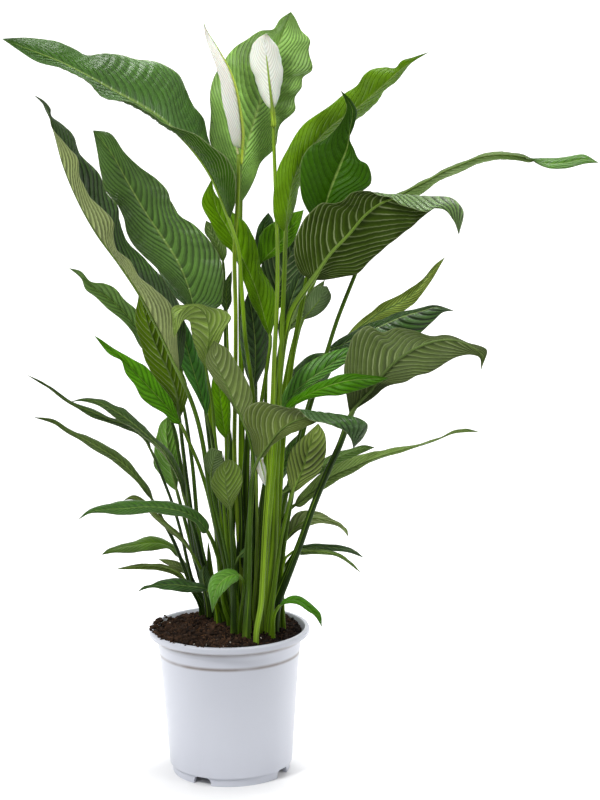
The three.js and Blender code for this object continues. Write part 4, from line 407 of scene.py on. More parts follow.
    leaf_row("leaf_dark_back", shoot="shoot_back_right", root=(34, 60), radius=(3.2, 1.8),
        sag=(-2, -2), wave=0.8, upper=(42, 82, 32),
        stem="36 300 62, 38 450 66, 40 600 70",
        mid="43 680 71, 47 698 72, 52 715 74, 57 731 76",
        left="40 692 -1, 42 708 -2, 49 722 -1",
        right="52 690 1, 63 707 2, 63 722 1"),
    leaf_row("leaf_bright_back", shoot="shoot_back_right", root=(34, 60), radius=(3.2, 2.0),
        sag=(-2, -2), wave=1, upper=(80, 136, 20),
        stem="35 300 60, 36 420 59, 38 540 57, 41 630 53",
        mid="44 664 50, 55 676 50, 67 688 50, 80 704 50, 92 720 51, 102 734 52",
        left="43 680 2, 46 702 3, 62 718 3, 82 729 2",
        right="56 672 -2, 70 678 -3, 86 691 -2, 96 712 -1"),
    leaf_row("leaf_high_narrow_back", shoot="shoot_low_back", root=(48, 66), radius=(3.0, 1.8),
        sag=(-2, -2), wave=0.8, upper=(60, 100, 40),
        stem="50 260 66, 51 340 64",
        mid="58 376 62, 66 395 61, 75 413 60, 84 430 60, 92 446 60",
        left="58 391 1, 66 412 2, 78 432 1",
        right="71 386 -1, 82 404 -2, 91 424 -1"),
    leaf_row("leaf_low_dark_back", shoot="shoot_low_back", root=(48, 66), radius=(3.0, 1.8),
        sag=(-2, -2), wave=0.8, upper=(38, 64, 28), stalk="dark",
        stem="50 235 70",
        mid="52 262 74, 56 290 75, 62 318 75, 69 348 75, 76 380 75",
        left="48 285 -1, 51 318 -1, 59 352 -1",
        right="64 286 1, 73 316 1, 78 348 1"),
    leaf_row("leaf_ribbed_back", shoot="shoot_mid_right", face=-1, root=(44, 50),
        radius=(3.2, 2.2), sag=(3, 3), wave=1, upper=(50, 84, 40), under=(62, 90, 50),
        stem="48 300 56, 50 450 60, 54 560 62",
        mid="58 600 62, 66 630 63, 75 655 63, 85 680 64, 95 702 65",
        left="50 618 -2, 46 646 -3, 50 674 -3, 66 698 -2",
        right="75 614 2, 92 640 3, 103 664 3, 103 688 1"),
    leaf_row("leaf_dark_mid_right", shoot="shoot_mid_right", root=(44, 50), radius=(3.2, 2.0),
        sag=(-2, -2), wave=1, upper=(38, 68, 30),
        stem="49 300 54, 56 420 53, 64 520 52",
        mid="70 560 51, 76 590 51, 83 615 51, 92 640 51, 100 662 51",
        left="68 586 -1, 73 612 -1, 84 642 -1",
        right="81 577 1, 94 602 2, 104 632 1"),
    leaf_row("leaf_striped_right", shoot="shoot_right", face=-1, root=(54, 37), radius=(2.8, 1.8),
        sag=(1, 1), wave=0.8, upper=(64, 100, 44), under=(84, 110, 60),
        stem="55 300 38, 58 420 40, 68 530 43",
        mid="76 578 43, 90 595 43, 104 612 43, 116 628 42, 128 645 42",
        left="79 590 2, 92 608 3, 112 634 2",
        right="90 585 -1, 106 602 -2, 123 625 -1"),
    leaf_row("leaf_round_right", shoot="shoot_right", face=-1, root=(54, 37), radius=(2.8, 1.6),
        sag=(1, 1), wave=0.5, upper=(70, 110, 60), under=(98, 126, 86),
        stem="56 300 35, 62 370 32, 75 470 29, 86 539 28, 93 572 28",
        mid="100 594 28, 109 605 28, 120 618 28, 131 637 28",
        left="101 605 1, 106 622 2, 120 637 1",
        right="114 598 -1, 128 608 -2, 136 624 -1"),
    leaf_row("leaf_dark_far_right", root=(36, 38), radius=(3.0, 2.2), sag=(-2, -2), wave=1.5,
        upper=(38, 72, 24), bands=1.6,
        stem="40 260 36, 46 330 31, 66 420 24, 90 490 22, 118 535 24",
        mid="""130 553 26, 150 562 25, 175 574 23, 200 586 21, 225 597 18, 250 604 15, 270 609 12,
        293 604 8""",
        left="138 563 3, 154 574 5, 176 585 6, 200 595 7, 226 603 7, 250 609 4, 272 611 1",
        right="""144 553 -4, 164 557 -6, 188 560 -8, 212 562 -9, 236 568 -9, 252 578 -8,
        266 591 -6, 278 602 -2"""),
    leaf_row("leaf_front_right", face=-1, root=(58, -27), radius=(5.2, 4.2), sag=(4, 4), wave=2,
        upper=(60, 100, 44), under=(82, 102, 50), bands=1.1, stalk="dark",
        stem="63 225 -28, 75 255 -30, 93 300 -33, 113 356 -37, 131 399 -41, 147 434 -44",
        mid="""159 466 -46, 170 484 -49, 186 501 -54, 204 525 -61, 224 544 -68, 248 558 -75,
        270 565 -83, 292 566 -90, 314 558 -96, 330 543 -101, 327 527 -105""",
        left="""156 486 3, 153 510 6, 152 536 9, 157 556 11, 168 577 12, 182 586 12, 200 577 12,
        218 583 12, 238 580 11, 262 573 9, 284 573 7, 306 564 4, 325 559 0, 333 555 -2""",
        right="""164 474 -2, 176 484 -4, 192 496 -6, 210 508 -8, 230 513 -8, 244 520 -7,
        264 526 -5, 282 537 -3, 298 545 -1, 314 547 1, 325 544 2"""),
    leaf_row("leaf_glossy_right", root=(34, 8), radius=(3.0, 2.2), sag=(-2, -2), wave=1,
        upper=(64, 118, 44),
        stem="37 260 8, 43 340 3, 52 410 -2, 62 460 -4",
        mid="70 477 -4, 84 496 -5, 102 513 -6, 122 527 -7, 140 540 -8, 158 550 -8, 172 556 -8",
        left="70 488 1, 78 508 3, 90 526 4, 106 539 4, 124 548 4, 142 555 3, 158 558 1",
        right="79 483 -3, 94 498 -5, 110 510 -6, 126 520 -6, 142 530 -5, 158 542 -3"),
    leaf_row("leaf_wavy_right", root=(41, -24), radius=(2.6, 2.0), sag=(-2, -2), wave=1.5,
        upper=(56, 112, 2), young=True,
        stem="42 270 -25, 46 340 -27, 54 410 -28, 66 458 -30",
        mid="""73 474 -33, 86 486 -40, 104 497 -49, 122 505 -56, 142 512 -62, 162 516 -67,
        184 517 -72, 209 518 -78""",
        left="77 484 3, 90 496 6, 108 508 8, 126 515 8, 144 523 6, 164 524 4, 186 522 2",
        right="""83 480 -2, 98 489 -5, 114 493 -6, 130 496 -7, 146 496 -6, 164 501 -5,
        184 507 -3"""),
    leaf_row("leaf_oval_front", face=-1, root=(7, -47), radius=(2.2, 1.6), sag=(2, 2), wave=0.5,
        upper=(60, 100, 40), under=(92, 120, 40), bands=1.0,
        stem="6 245 -51, 5 295 -58, 4 328 -64",
        mid="4 344 -67, 1 362 -70, -2 382 -73, -2 400 -75, 0 415 -77",
        left="-4 353 -1, -15 366 -2, -21 382 -1, -16 397 0",
        right="9 358 -1, 17 374 -2, 20 392 -1, 12 409 0"),
    leaf_row("leaf_curled_front", shoot="shoot_small_front", face=-1, root=(8, -33),
        radius=(2.4, 1.4), sag=(1, 1), wave=0.5, upper=(60, 100, 44), under=(80, 106, 60),
        stem="2 260 -37, -10 325 -41, -18 362 -43",
        mid="-21 390 -43, -19 405 -44, -14 418 -46, -6 425 -48",
        left="-27 402 0, -29 416 0, -21 428 0",
        right="-11 399 -1, -5 408 -1, -5 418 -1"),
    leaf_row("leaf_tiny_front", shoot="shoot_small_front", face=-1, root=(8, -33),
        radius=(2.4, 1.4), sag=(1, 1), wave=0.3, upper=(60, 100, 40), under=(70, 110, 50),
        stem="8 240 -31, 9 274 -29",
        mid="13 284 -28, 19 290 -27, 25 293 -27, 32 297 -27",
        left="15 289 1, 24 298 1",
        right="19 284 -1, 28 289 -1"),
    leaf_row("leaf_back_left", root=(-8, 74), radius=(4.2, 2.8), sag=(-3, -3), wave=2,
        stem="-12 300 88, -20 420 108, -34 540 130",
        mid="-46 610 142, -60 650 152, -78 700 160, -95 745 164, -108 780 164",
        left="-66 628 2, -86 662 4, -105 702 6, -118 744 4",
        right="-36 650 -2, -44 700 -4, -62 740 -4, -88 770 -2"),
    leaf_row("leaf_back_right", shoot="shoot_back_far_right", root=(22, 76), radius=(4.4, 2.8),
        sag=(-3, -3), wave=2,
        stem="40 300 92, 66 460 116, 95 590 136",
        mid="115 645 142, 132 680 146, 150 706 148, 176 738 148",
        left="108 668 3, 116 700 4, 140 730 3",
        right="136 656 -3, 160 680 -4, 178 712 -3"),
    leaf_row("leaf_back_low_right", shoot="shoot_back_far_right", root=(22, 76), radius=(4.4, 2.4),
        sag=(-3, -3), wave=1.5,
        stem="36 300 100, 52 400 124",
        mid="72 470 140, 92 505 144, 112 532 146, 136 552 146",
        left="74 492 3, 84 526 4, 112 550 3",
        right="90 486 -3, 116 502 -4, 136 528 -3"),
    leaf_row("leaf_back_low_left", root=(-26, 82), radius=(3.4, 2.2), sag=(-3, -3), wave=1.5,
        stem="-36 300 96, -46 420 112",
        mid="-58 500 122, -70 540 126, -84 580 128, -98 612 128",
        left="-70 514 2, -88 546 3, -102 584 2",
        right="-54 530 -2, -58 572 -3, -80 606 -2"),
]
FLOWER_STALKS = [
    {"name": "flower_stalk_high", "root": (20, 12), "radius": (3.0, 2.6), "colour": (122, 154, 46),
        "path": readings("""17 250 20, 12 350 24, 10 430 24, 12 500 22, 14 600 17, 14 690 13,
        18 740 11, 20 780 11, 20 804 11""")},
    {"name": "flower_stalk_front", "root": (37, -75), "radius": (3.8, 2.2), "colour": (118, 156, 34),
        "path": readings("""42 222 -72, 44 250 -69, 46 283 -66, 49 333 -60, 53 380 -54, 56 425 -50,
        60 490 -46, 63 552 -34, 66 600 -19, 68 650 -1, 68 700 18, 67 740 30, 66 780 38,
        65 824 42, 65 861 46""")},
    {"name": "flower_stalk_low", "root": (34, -26), "radius": (2.2, 1.7), "colour": (104, 134, 50),
        "path": readings("36 260 -28, 38 350 -31, 37 405 -32, 34 424 -33")},
]
# Rolled young leaves in the heart of the clump: root, tip (x, height, depth), radius, brightness.
ROLLED_LEAVES = [
    ((2, 30), (6, 452, 34), 4.6, 0.25), ((10, 20), (17, 388, 26), 4.2, 0.1),
    ((17, 36), (30, 486, 42), 4.6, 0.45), ((-7, 24), (-14, 356, 34), 4.0, 0.2),
    ((27, 30), (35, 436, 36), 4.4, 0.1), ((36, 12), (44, 350, 16), 3.8, 0.7),
    ((48, 26), (60, 420, 32), 4.2, 0.2), ((58, 2), (74, 318, 6), 3.6, 0.35),
    ((-16, 12), (-26, 306, 18), 3.6, 0.5), ((6, -6), (8, 322, -4), 3.8, 0.3),
    ((44, -18), (52, 330, -14), 3.8, 0.15), ((-2, 46), (-4, 420, 52), 4.4, 0.1),
]
SPADICES = [
    ("spadix_high", "20 804.4 11, 17 822 11, 13.5 850 11, 8 880 11"),
    ("spadix_front", "65 861.4 46, 64 876 50, 61 900 54, 58 926 56"),
]
SPATHES = [
    leaf_row("spathe_high", face=-1, start=(23.85, 792, 11), radius=(1.6, 1.5), sag=(-3, -3),
        wave=0.5,
        stem="24.1 800 11",
        mid="""25 811 11, 24.5 822 11, 24 838 11, 22.5 852 11, 20 872 11, 16 891 11, 9 911 11,
        -1 930 11, -9 944 11, -17 957 11, -21 968 11""",
        left="""15 815 -8, 10 830 -13, 6 848 -16, 1 872 -16, -1 892 -14, -6 914 -12, -13 932 -8,
        -19 952 -3""",
        right="""17 817 8, 13 832 13, 9 850 15, 5 873 15, 0 894 14, -7 917 11, -14 937 6,
        -19 953 2"""),
    leaf_row("spathe_front", face=-1, start=(65, 838, 38.4), radius=(1.6, 1.5), sag=(-3, -3),
        wave=0.8,
        stem="64.9 846 39.2",
        mid="64 858 41, 62 876 41, 60 895 42, 58 915 44, 56 932 45, 55 945 45, 57 954 42",
        left="57 864 6, 48 880 10, 41 902 12, 36 920 11, 38 936 8, 46 947 4",
        right="70 870 5, 75 888 8, 77 906 10, 75 924 9, 70 938 6, 62 948 2"),
    leaf_row("spathe_low", face=-1, start=(33.7, 424.6, -33), radius=(1.4, 1.2), sag=(1, 1),
        wave=0.5,
        stem="34 428 -34",
        mid="38 427 -36, 42 416 -38, 45 403 -39, 48 390 -40, 49 378 -40",
        left="44 420 2, 48 408 3, 51 392 2",
        right="36 414 -1, 38 402 -2, 43 388 -1"),
]
# How stout each spathe's neck is, the keel that it runs on into, and the colour of both.
KEELS = {
    # spathe_high's keel is painted brighter than its own green: painted light for a keel that lies in
    # shade.
    "spathe_high": {"stout": 1.6, "rib": 1.0, "stalk": (186, 212, 84)},
    "spathe_front": {"stout": 1.3, "rib": 0.5, "stalk": (140, 172, 60)},
    "spathe_low": { "stalk": (132, 164, 66)},
}

# ---------------------------------------------------------------- curves

def place(point):
    """A reading moved along the line of sight to its depth."""
    x, height, depth = point
    stretch = 1 + depth / -EYE[1]
    return np.array([EYE[0] + (x - EYE[0]) * stretch, depth, EYE[2] + (height - EYE[2]) * stretch])


def unit(v):
    return v / np.maximum(np.linalg.norm(v, axis=-1, keepdims=True), 1e-9)


def turns(sides):
    """The angles of a ring's corners."""
    return np.arange(sides) / sides * 2 * np.pi


class Curve:
    """Smooth curve through points, by distance along its chords."""

    def __init__(self, points):
        self.p = np.array(points, float)
        step = np.linalg.norm(np.diff(self.p, axis=0), axis=1)
        self.at = np.concatenate([[0], np.cumsum(step)])
        self.length = self.at[-1]
        slope = np.diff(self.p, axis=0) / step[:, None]
        before, after = step[:-1, None], step[1:, None]
        inner = (slope[:-1] * after + slope[1:] * before) / (before + after)
        self.m = np.concatenate([slope[:1], inner, slope[-1:]])

    def __call__(self, s):
        s = np.atleast_1d(np.asarray(s, float))
        i = np.clip(np.searchsorted(self.at, s, side="right") - 1, 0, len(self.at) - 2)
        h = (self.at[i + 1] - self.at[i])[:, None]
        u = ((s - self.at[i])[:, None]) / h
        return (self.p[i] * (2 * u**3 - 3 * u**2 + 1) + self.m[i] * h * (u**3 - 2 * u**2 + u)
                + self.p[i + 1] * (3 * u**2 - 2 * u**3) + self.m[i + 1] * h * (u**3 - u**2))


def phase_of(name):
    """A fixed angle from the letters of a name, so that each leaf waves in its own way."""
    total = 0
    for letter in name:
        total = (total * 31 + ord(letter)) % 997
    return total / 997 * 2 * math.pi


def edge_curve(row, side, blade):
    """The blade's edge, as a function of the share of its length."""
    flat = np.array([p[:2] for p in [row["mid"][0], *row[side], row["mid"][-1]]], float)
    run = np.concatenate([[0], np.cumsum(np.linalg.norm(np.diff(flat, axis=0), axis=1))])
    depth = blade(run / run[-1])[:, 1]
    depth[1:-1] += [p[2] for p in row[side]]
    curve = Curve([place((x, z, y)) for (x, z), y in zip(flat, depth)])
    return lambda t: curve(np.minimum(1, t) * curve.length)


class Leaf:
    """One leaf: stalk path, blade midrib and both edges."""

    def __init__(self, row):
        self.row = row
        if row["start"]:
            points = [place(row["start"])]
        else:
            x, y = row["root"]
            points = [np.array([x, y, ROOT_Z]), np.array([x, y, COLLAR_Z])]
        points += [place(p) for p in row["stem"] + row["mid"]]
        self.path = Curve(points)
        self.base = self.path.at[len(points) - len(row["mid"])]
        self.reach = self.path.length - self.base
        self.left = edge_curve(row, "left", self.blade)
        self.right = edge_curve(row, "right", self.blade)
        self.phase = phase_of(row["name"])
        t = np.arange(1, 20) / 20
        mid = self.blade(t)
        self.width = max(np.linalg.norm(edge(t) - mid, axis=1).max() for edge in (self.left, self.right))
        self.size = LARGE_LEAF if self.width > LARGE_WIDTH else SMALL_LEAF
        self.waves = 2 + self.reach / 90

    def blade(self, t):
        return self.path(self.base + np.asarray(t) * self.reach)

    def ahead(self, t):
        """Where the edges stand that belong to share t of the midrib."""
        return t + self.row["lead"] * t * (1 - t)

    def frames(self, t):
        """Midrib, tangent, edges, normals of both halves and of the midrib at shares t of the blade."""
        mid = self.blade(t)
        tangent = unit(self.blade(np.minimum(1, t + 0.01)) - self.blade(np.maximum(0, t - 0.01)))
        left, right = self.left(self.ahead(t)), self.right(self.ahead(t))
        inner = np.clip(t, 0.03, 0.97)
        centre = self.blade(inner)
        n_left = unit(np.cross(centre - self.left(self.ahead(inner)), tangent))
        n_right = unit(np.cross(self.right(self.ahead(inner)) - centre, tangent))
        return mid, tangent, left, right, n_left, n_right, unit(n_left + n_right)


# ---------------------------------------------------------------- meshes

BLADE_VALUES = ("along", "across", "vein", "seed", "sheen", "bands")


class Mesh:
    """Collects vertices, faces, a material index per face and float attributes per vertex."""

    def __init__(self, names=BLADE_VALUES):
        self.v, self.f, self.mat, self.tint = [], [], [], []
        self.attr = {n: [] for n in names}
        self.count = 0

    def points(self, points, values, tint=(1, 1, 1, 1)):
        """Adds loose vertices; returns the index of the first."""
        start = self.count
        self.v.append(points)
        self.count += len(points)
        for n in self.attr:
            self.attr[n].append(values[n])
        self.tint.append(np.tile(np.asarray(tint, float), (len(points), 1)))
        return start

    def grid(self, points, values, mat=0, flip=False, wrap=False, tint=(1, 1, 1, 1)):
        """points (rows, cols, 3); values: attribute name to (rows, cols) array or number."""
        rows, cols = points.shape[:2]
        full = {n: np.broadcast_to(np.asarray(values.get(n, 0.0), float), (rows, cols)).reshape(-1)
                for n in self.attr}
        start = self.points(points.reshape(-1, 3), full, tint)
        i, j = np.meshgrid(np.arange(rows - 1), np.arange(cols if wrap else cols - 1), indexing="ij")
        jn = (j + 1) % cols
        corners = [i * cols + j, i * cols + jn, (i + 1) * cols + jn, (i + 1) * cols + j]
        quad = np.stack(corners, -1).reshape(-1, 4)
        if flip:
            quad = quad[:, ::-1]
        self.f += (quad + start).tolist()
        self.mat += [mat] * len(quad)
        return start

    def tube(self, points, values, mat=0, **settings):
        """A grid of rings with both ends closed."""
        rows, sides = points.shape[:2]
        start = self.grid(points, values, mat, wrap=True, **settings)
        last = start + (rows - 1) * sides
        self.face(range(start, start + sides)[::-1], mat)
        self.face(range(last, last + sides), mat)

    def face(self, loop, mat=0):
        self.f.append(list(loop))
        self.mat.append(mat)

    def build(self, name, materials, smooth=True):
        mesh = bpy.data.meshes.new(name)
        mesh.from_pydata((np.concatenate(self.v) * MM).tolist(), [], self.f)
        for m in materials:
            mesh.materials.append(m)
        mesh.polygons.foreach_set("material_index", self.mat)
        mesh.polygons.foreach_set("use_smooth", [smooth] * len(self.f))
        for n, parts in self.attr.items():
            attribute = mesh.attributes.new(n, "FLOAT", "POINT")
            attribute.data.foreach_set("value", np.concatenate(parts).astype(np.float32))
        if self.attr:
            tint = mesh.attributes.new("tint", "FLOAT_COLOR", "POINT")
            tint.data.foreach_set("color", np.concatenate(self.tint).astype(np.float32).reshape(-1))
        mesh.validate()
        mesh.update()
        obj = bpy.data.objects.new(name, mesh)
        bpy.context.collection.objects.link(obj)
        return obj


def sheet_columns(half):
    """Shares from the left edge (-1) over the midrib (0) to the right edge (1), closer at the midrib."""
    a = (np.arange(half + 1) / half) ** 1.25
    return np.concatenate([-a[:0:-1], a])


def add_blade(mesh, leaf, fine, look):
    """The leaf's blade: two skins with quilted side veins, a sunken midrib and wavy edges."""
    row, phase = leaf.row, leaf.phase
    rows = int(np.clip(leaf.reach / leaf.size["row_step"], 26, 230) * fine)
    t = np.clip(np.linspace(0.0, 1.0, rows), 0.003, 0.997)
    u = sheet_columns(leaf.size["columns"])
    cols = len(u)
    mid, _, left, right, n_left, n_right, n_mid = leaf.frames(t)
    # From here on t runs down the rows and a, the share from midrib to edge, over the columns.
    t = t[:, None]
    a = np.abs(u)[None, :]
    on_left = (u < 0)[None, :]
    side = np.where(on_left, 0, 1)
    reach = np.where(on_left[..., None], (left - mid)[:, None, :], (right - mid)[:, None, :])
    normal = np.where(on_left[..., None], n_left[:, None, :], n_right[:, None, :])
    width = np.linalg.norm(reach, axis=2)
    swell = np.sqrt(np.sin(np.pi * t))
    sag = np.where(on_left, *row["sag"]) * (width / leaf.width) * 4 * a * (1 - a)
    wave = row["wave"] * a**2 * swell * np.sin(phase + side * 1.7 + 2 * np.pi * leaf.waves * t)
    point = mid[:, None, :] + reach * a[..., None] + normal * (wave - sag)[..., None]
    blend = np.clip(a / 0.22, 0, 1)
    blend = (blend * blend * (3 - 2 * blend))[..., None]
    normal = unit(n_mid[:, None, :] * (1 - blend) + normal * blend)
    # The side veins sweep forward towards the edge.
    count = look["veins"] or np.clip(leaf.reach / leaf.size["vein_step"], 9, 28)
    sweep = look.get("sweep", min(0.45, 0.06 + 1.5 * leaf.width / leaf.reach))
    wobble = 0.12 * np.sin(phase * 3 + 9 * t + 2 * side)
    vein = count * (t - sweep * a**1.5 * (1 - 0.45 * t)) + wobble + side * 0.5
    ridge = np.abs(np.sin(np.pi * vein)) ** 0.7
    scale = np.clip(width / 26, 0, 1) * swell
    quilt = look["quilt"] * scale * (ridge - 0.6) * np.clip(a * 5, 0, 1) * (1 - a**3 * 0.7)
    groove = -GROOVE * np.clip(width / 12, 0, 1) * np.exp(-((width * a / 1.7) ** 2))
    crinkle = CRINKLE * scale * np.sin(phase + t * leaf.reach / 7.0 + a * 4.0 + side) * a
    uneven = 0.6 + 0.4 * np.sin(phase * 2 + t * 17 + side * 2.3)
    ruffle = RUFFLE * scale * a**3 * uneven * np.sin(0.74 * np.pi * vein + phase)
    point = point + unit(reach) * (0.4 * ruffle)[..., None]
    point = point + normal * (row["face"] * (quilt + groove) + (crinkle + ruffle))[..., None]
    half_thick = normal * (look["thick"] * (1 - 0.45 * a**2) / 2)[..., None]
    values = {"along": t, "across": a, "vein": vein, "seed": phase,
              "bands": row["bands"] or leaf.size["bands"]}
    starts = []
    for skin, face in ((point + half_thick, 1), (point - half_thick, -1)):
        index = 0 if face == row["face"] else 1
        tint = look["tints"][index]
        # Bluish greens get the gloss of the studio's pale walls, yellowish ones stay matt.
        sheen = min(1.0, max(0.0, (tint[2] / tint[1] - 0.02) * 8))
        slot = index if sheen > 0.5 else index + 3
        starts.append(mesh.grid(skin, {**values, "sheen": sheen}, slot, flip=face < 0, tint=tint))
    f, b = starts
    for i in range(rows - 1):
        here, there = i * cols, (i + 1) * cols
        mesh.face([f + here, f + there, b + there, b + here], 1)
        here, there = here + cols - 1, there + cols - 1
        mesh.face([f + here, b + here, b + there, f + there], 1)
    for i, order in ((0, 1), (rows - 1, -1)):
        for j in range(i * cols, i * cols + cols - 1):
            mesh.face([f + j, b + j, b + j + 1, f + j + 1][::order], 1)


def ring_points(centre, side, up, across, above):
    """Points at the given distances (rows, sides) from a centre line (rows, 3)."""
    return centre[:, None, :] + side[:, None, :] * across[..., None] + up[:, None, :] * above[..., None]


def add_tube(mesh, centre, frames, radius, values, mat=0, squash=(1.0, 1.0), sides=16, tint=(1, 1, 1, 1)):
    """Closed tube round centre (rows, 3); squash gives its width and height, a flat one has a channel."""
    side, up = frames
    angle = turns(sides)[None, :]
    x, y = np.cos(angle), np.sin(angle)
    radius = radius[:, None]
    wide, high = [np.broadcast_to(np.reshape(s, (-1, 1)), radius.shape) for s in squash]
    channel = np.where(y > 0, high * (1 - 0.35 * (1 - np.abs(x)) * (high < 1)), 1.0)
    px, py = x * radius * wide, y * radius * channel
    points = ring_points(centre, side, up, px, py)
    values = {k: v[:, None] if isinstance(v, np.ndarray) else v for k, v in values.items()}
    values["across"] = angle / (2 * np.pi)
    mesh.tube(points, values, mat, tint=tint)


def add_stalk_and_rib(mesh, leaf, look):
    """The leaf's stalk, channelled above, sheathing at its foot, running on as the blade's midrib."""
    up_sign = leaf.row["face"]
    s = np.linspace(0, leaf.base, max(8, int(leaf.base / 12)), endpoint=False)
    t = np.linspace(0, 0.985, max(14, int(leaf.reach / 6)))
    mid, tangent, _, _, _, _, n_mid = leaf.frames(t)
    stalk_tangent = unit(leaf.path(np.minimum(s + 1, leaf.path.length)) - leaf.path(np.maximum(s - 1, 0)))
    # The upper side is carried down the stalk from the blade, so that the channel doesn't twist.
    stalk_up = np.zeros((len(s), 3))
    carry = n_mid[min(2, len(n_mid) - 1)] * up_sign
    for i in reversed(range(len(s))):
        carry = carry - stalk_tangent[i] * np.dot(carry, stalk_tangent[i])
        carry = carry / np.linalg.norm(carry)
        stalk_up[i] = carry
    foot_radius, neck_radius = leaf.row["radius"]
    neck_radius = neck_radius * look["stout"]
    share = s / leaf.base
    fade = np.clip(t / 0.08, 0, 1)
    rib = neck_radius * ((1 - fade) + fade * (look["rib"] * (1 - t) + 0.10))
    rib_up = n_mid * up_sign
    rib_up = unit(rib_up - tangent * np.sum(rib_up * tangent, axis=1, keepdims=True))
    mix = np.clip(t / 0.05, 0, 1)[:, None]
    rib_up = unit(stalk_up[-1] * (1 - mix) + rib_up * mix)
    centre = np.concatenate([leaf.path(s), mid - rib_up * (rib * 0.8 * fade)[:, None]])
    tangent = np.concatenate([stalk_tangent, tangent])
    up = np.concatenate([stalk_up, rib_up])
    radius = np.concatenate([foot_radius + (neck_radius - foot_radius) * share, rib])
    sheath = np.concatenate([np.clip(1 - share / 0.5, 0, 1), np.zeros(len(t))])
    height = np.concatenate([s, np.full(len(t), leaf.base)])
    wide = 1 + 0.55 * sheath + 0.75 * np.exp(-np.clip(height - 20, 0, None) / 55)
    values = {"along": np.concatenate([share * 0.999, 1 + t]), "seed": leaf.phase}
    frames = (unit(np.cross(tangent, up)), up)
    add_tube(mesh, centre, frames, radius, values, 2, (wide, STALK_FLATNESS), tint=look["stalk"])


# ---------------------------------------------------------------- materials

def srgb(r, g, b):
    """Linear colour from 0-255 screen values."""
    shares = [c / 255 for c in (r, g, b)]
    return tuple(s / 12.92 if s <= 0.04 else ((s + 0.055) / 1.055) ** 2.4 for s in shares) + (1.0,)


class Nodes:
    """Adds nodes and links to one material."""

    def __init__(self, name):
        self.mat = bpy.data.materials.new(name)
        self.mat.use_nodes = True
        self.tree = self.mat.node_tree
        self.bsdf = self.tree.nodes["Principled BSDF"]

    def node(self, kind, **settings):
        n = self.tree.nodes.new(kind)
        for k, v in settings.items():
            setattr(n, k, v)
        return n

    def put(self, socket, value):
        if isinstance(value, bpy.types.NodeSocket):
            self.tree.links.new(value, socket)
        else:
            socket.default_value = value

    def fill(self, node, values, output=0):
        """Sets or links a node's inputs, by place or by name, and gives its output."""
        for key, value in values.items() if isinstance(values, dict) else enumerate(values):
            self.put(node.inputs[key], value)
        return node.outputs[output]

    def attribute(self, name, output="Fac"):
        return self.node("ShaderNodeAttribute", attribute_name=name).outputs[output]

    def coords(self):
        return self.node("ShaderNodeTexCoord").outputs["Object"]

    def axis(self, index):
        return self.fill(self.node("ShaderNodeSeparateXYZ"), [self.coords()], index)

    def math(self, op, a, b=0.0, clamp=False):
        return self.fill(self.node("ShaderNodeMath", operation=op, use_clamp=clamp), (a, b))

    def times(self, first, *others):
        for other in others:
            first = self.math("MULTIPLY", first, other)
        return first

    def plus(self, first, *others):
        for other in others:
            first = self.math("ADD", first, other)
        return first

    def minus(self, a, b):
        return self.math("SUBTRACT", a, b)

    def mix(self, factor, a, b, blend="MIX"):
        node = self.node("ShaderNodeMix", data_type="RGBA", blend_type=blend)
        return self.fill(node, {0: factor, 6: a, 7: b}, 2)

    def noise(self, scale, detail=3.0, rough=0.55, vector=None, distortion=0.0):
        values = {"Scale": scale, "Detail": detail, "Roughness": rough, "Distortion": distortion}
        values["Vector"] = vector if vector is not None else self.coords()
        return self.fill(self.node("ShaderNodeTexNoise"), values, "Fac")

    def spread(self, value, low, high, out_low=0.0, out_high=1.0, kind="LINEAR"):
        node = self.node("ShaderNodeMapRange", interpolation_type=kind)
        return self.fill(node, (value, low, high, out_low, out_high))

    def ease(self, *values):
        return self.spread(*values, kind="SMOOTHSTEP")

    def patches(self, scale, low, high, detail=3.0, rough=0.55):
        """Cloudy patches between two values."""
        return self.spread(self.noise(scale, detail, rough), 0.3, 0.7, low, high)

    def grey(self, value):
        return self.fill(self.node("ShaderNodeCombineColor"), [value] * 3)

    def finish(self, colour, roughness, relief=None, distance=0.0, **constants):
        values = {"Base Color": colour, "Roughness": roughness}
        if relief is not None:
            values["Normal"] = self.fill(self.node("ShaderNodeBump"), {
                "Strength": 1.0, "Distance": distance, "Height": relief})
        values.update({name.replace("_", " "): value for name, value in constants.items()})
        self.fill(self.bsdf, values)
        return self.mat


def vein_phase(n):
    """Counts the side veins along the blade, a little unevenly."""
    return n.plus(n.attribute("vein"), n.times(n.minus(n.noise(22.0, 2.0), 0.5), 0.75))


def vein_lines(n, width):
    """1 on the side veins, falling to 0 beside them."""
    share = n.math("FRACT", vein_phase(n))
    return n.ease(n.math("MINIMUM", share, n.minus(1.0, share)), 0.0, width, 1.0, 0.0)


def fine_lines(n, factor):
    """Fine parallel veins between the side veins, 0 to 1."""
    return n.spread(n.math("SINE", n.times(vein_phase(n), FULL_TURN * factor)), -1.0, 1.0)


def tinted(n, warmth, *gains):
    """The leaf's own colour times the given gains, warmed against the pale sheen of the studio."""
    warm = n.mix(1.0, n.attribute("tint", "Color"), warmth, "MULTIPLY")
    return n.mix(1.0, warm, n.grey(n.times(*gains)), "MULTIPLY")


def painted_ridge_shade(n, low, high):
    """Painted shade and light of the quilted blade: a gain from low beside each side vein to high on the
    swelling after it, stronger in some places.
    """
    share = n.math("FRACT", vein_phase(n))
    swell = n.math("MINIMUM", n.times(share, 1.28), n.times(n.minus(1.0, share), 4.5))
    gain = n.ease(swell, 0.05, 0.95, low, high)
    part = n.spread(n.noise(16.0, 2.0), 0.35, 0.65, 0.5, 1.15)
    part = n.times(part, n.attribute("bands"), n.spread(n.attribute("sheen"), 0.0, 1.0, 0.5, 1.0))
    return n.plus(1.0, n.times(n.minus(gain, 1.0), part))


def pale_midrib(n, base):
    share = n.ease(n.attribute("across"), 0.0, 0.06, 0.95, 0.0)
    return n.mix(share, base, n.mix(0.6, base, srgb(160, 188, 96)))


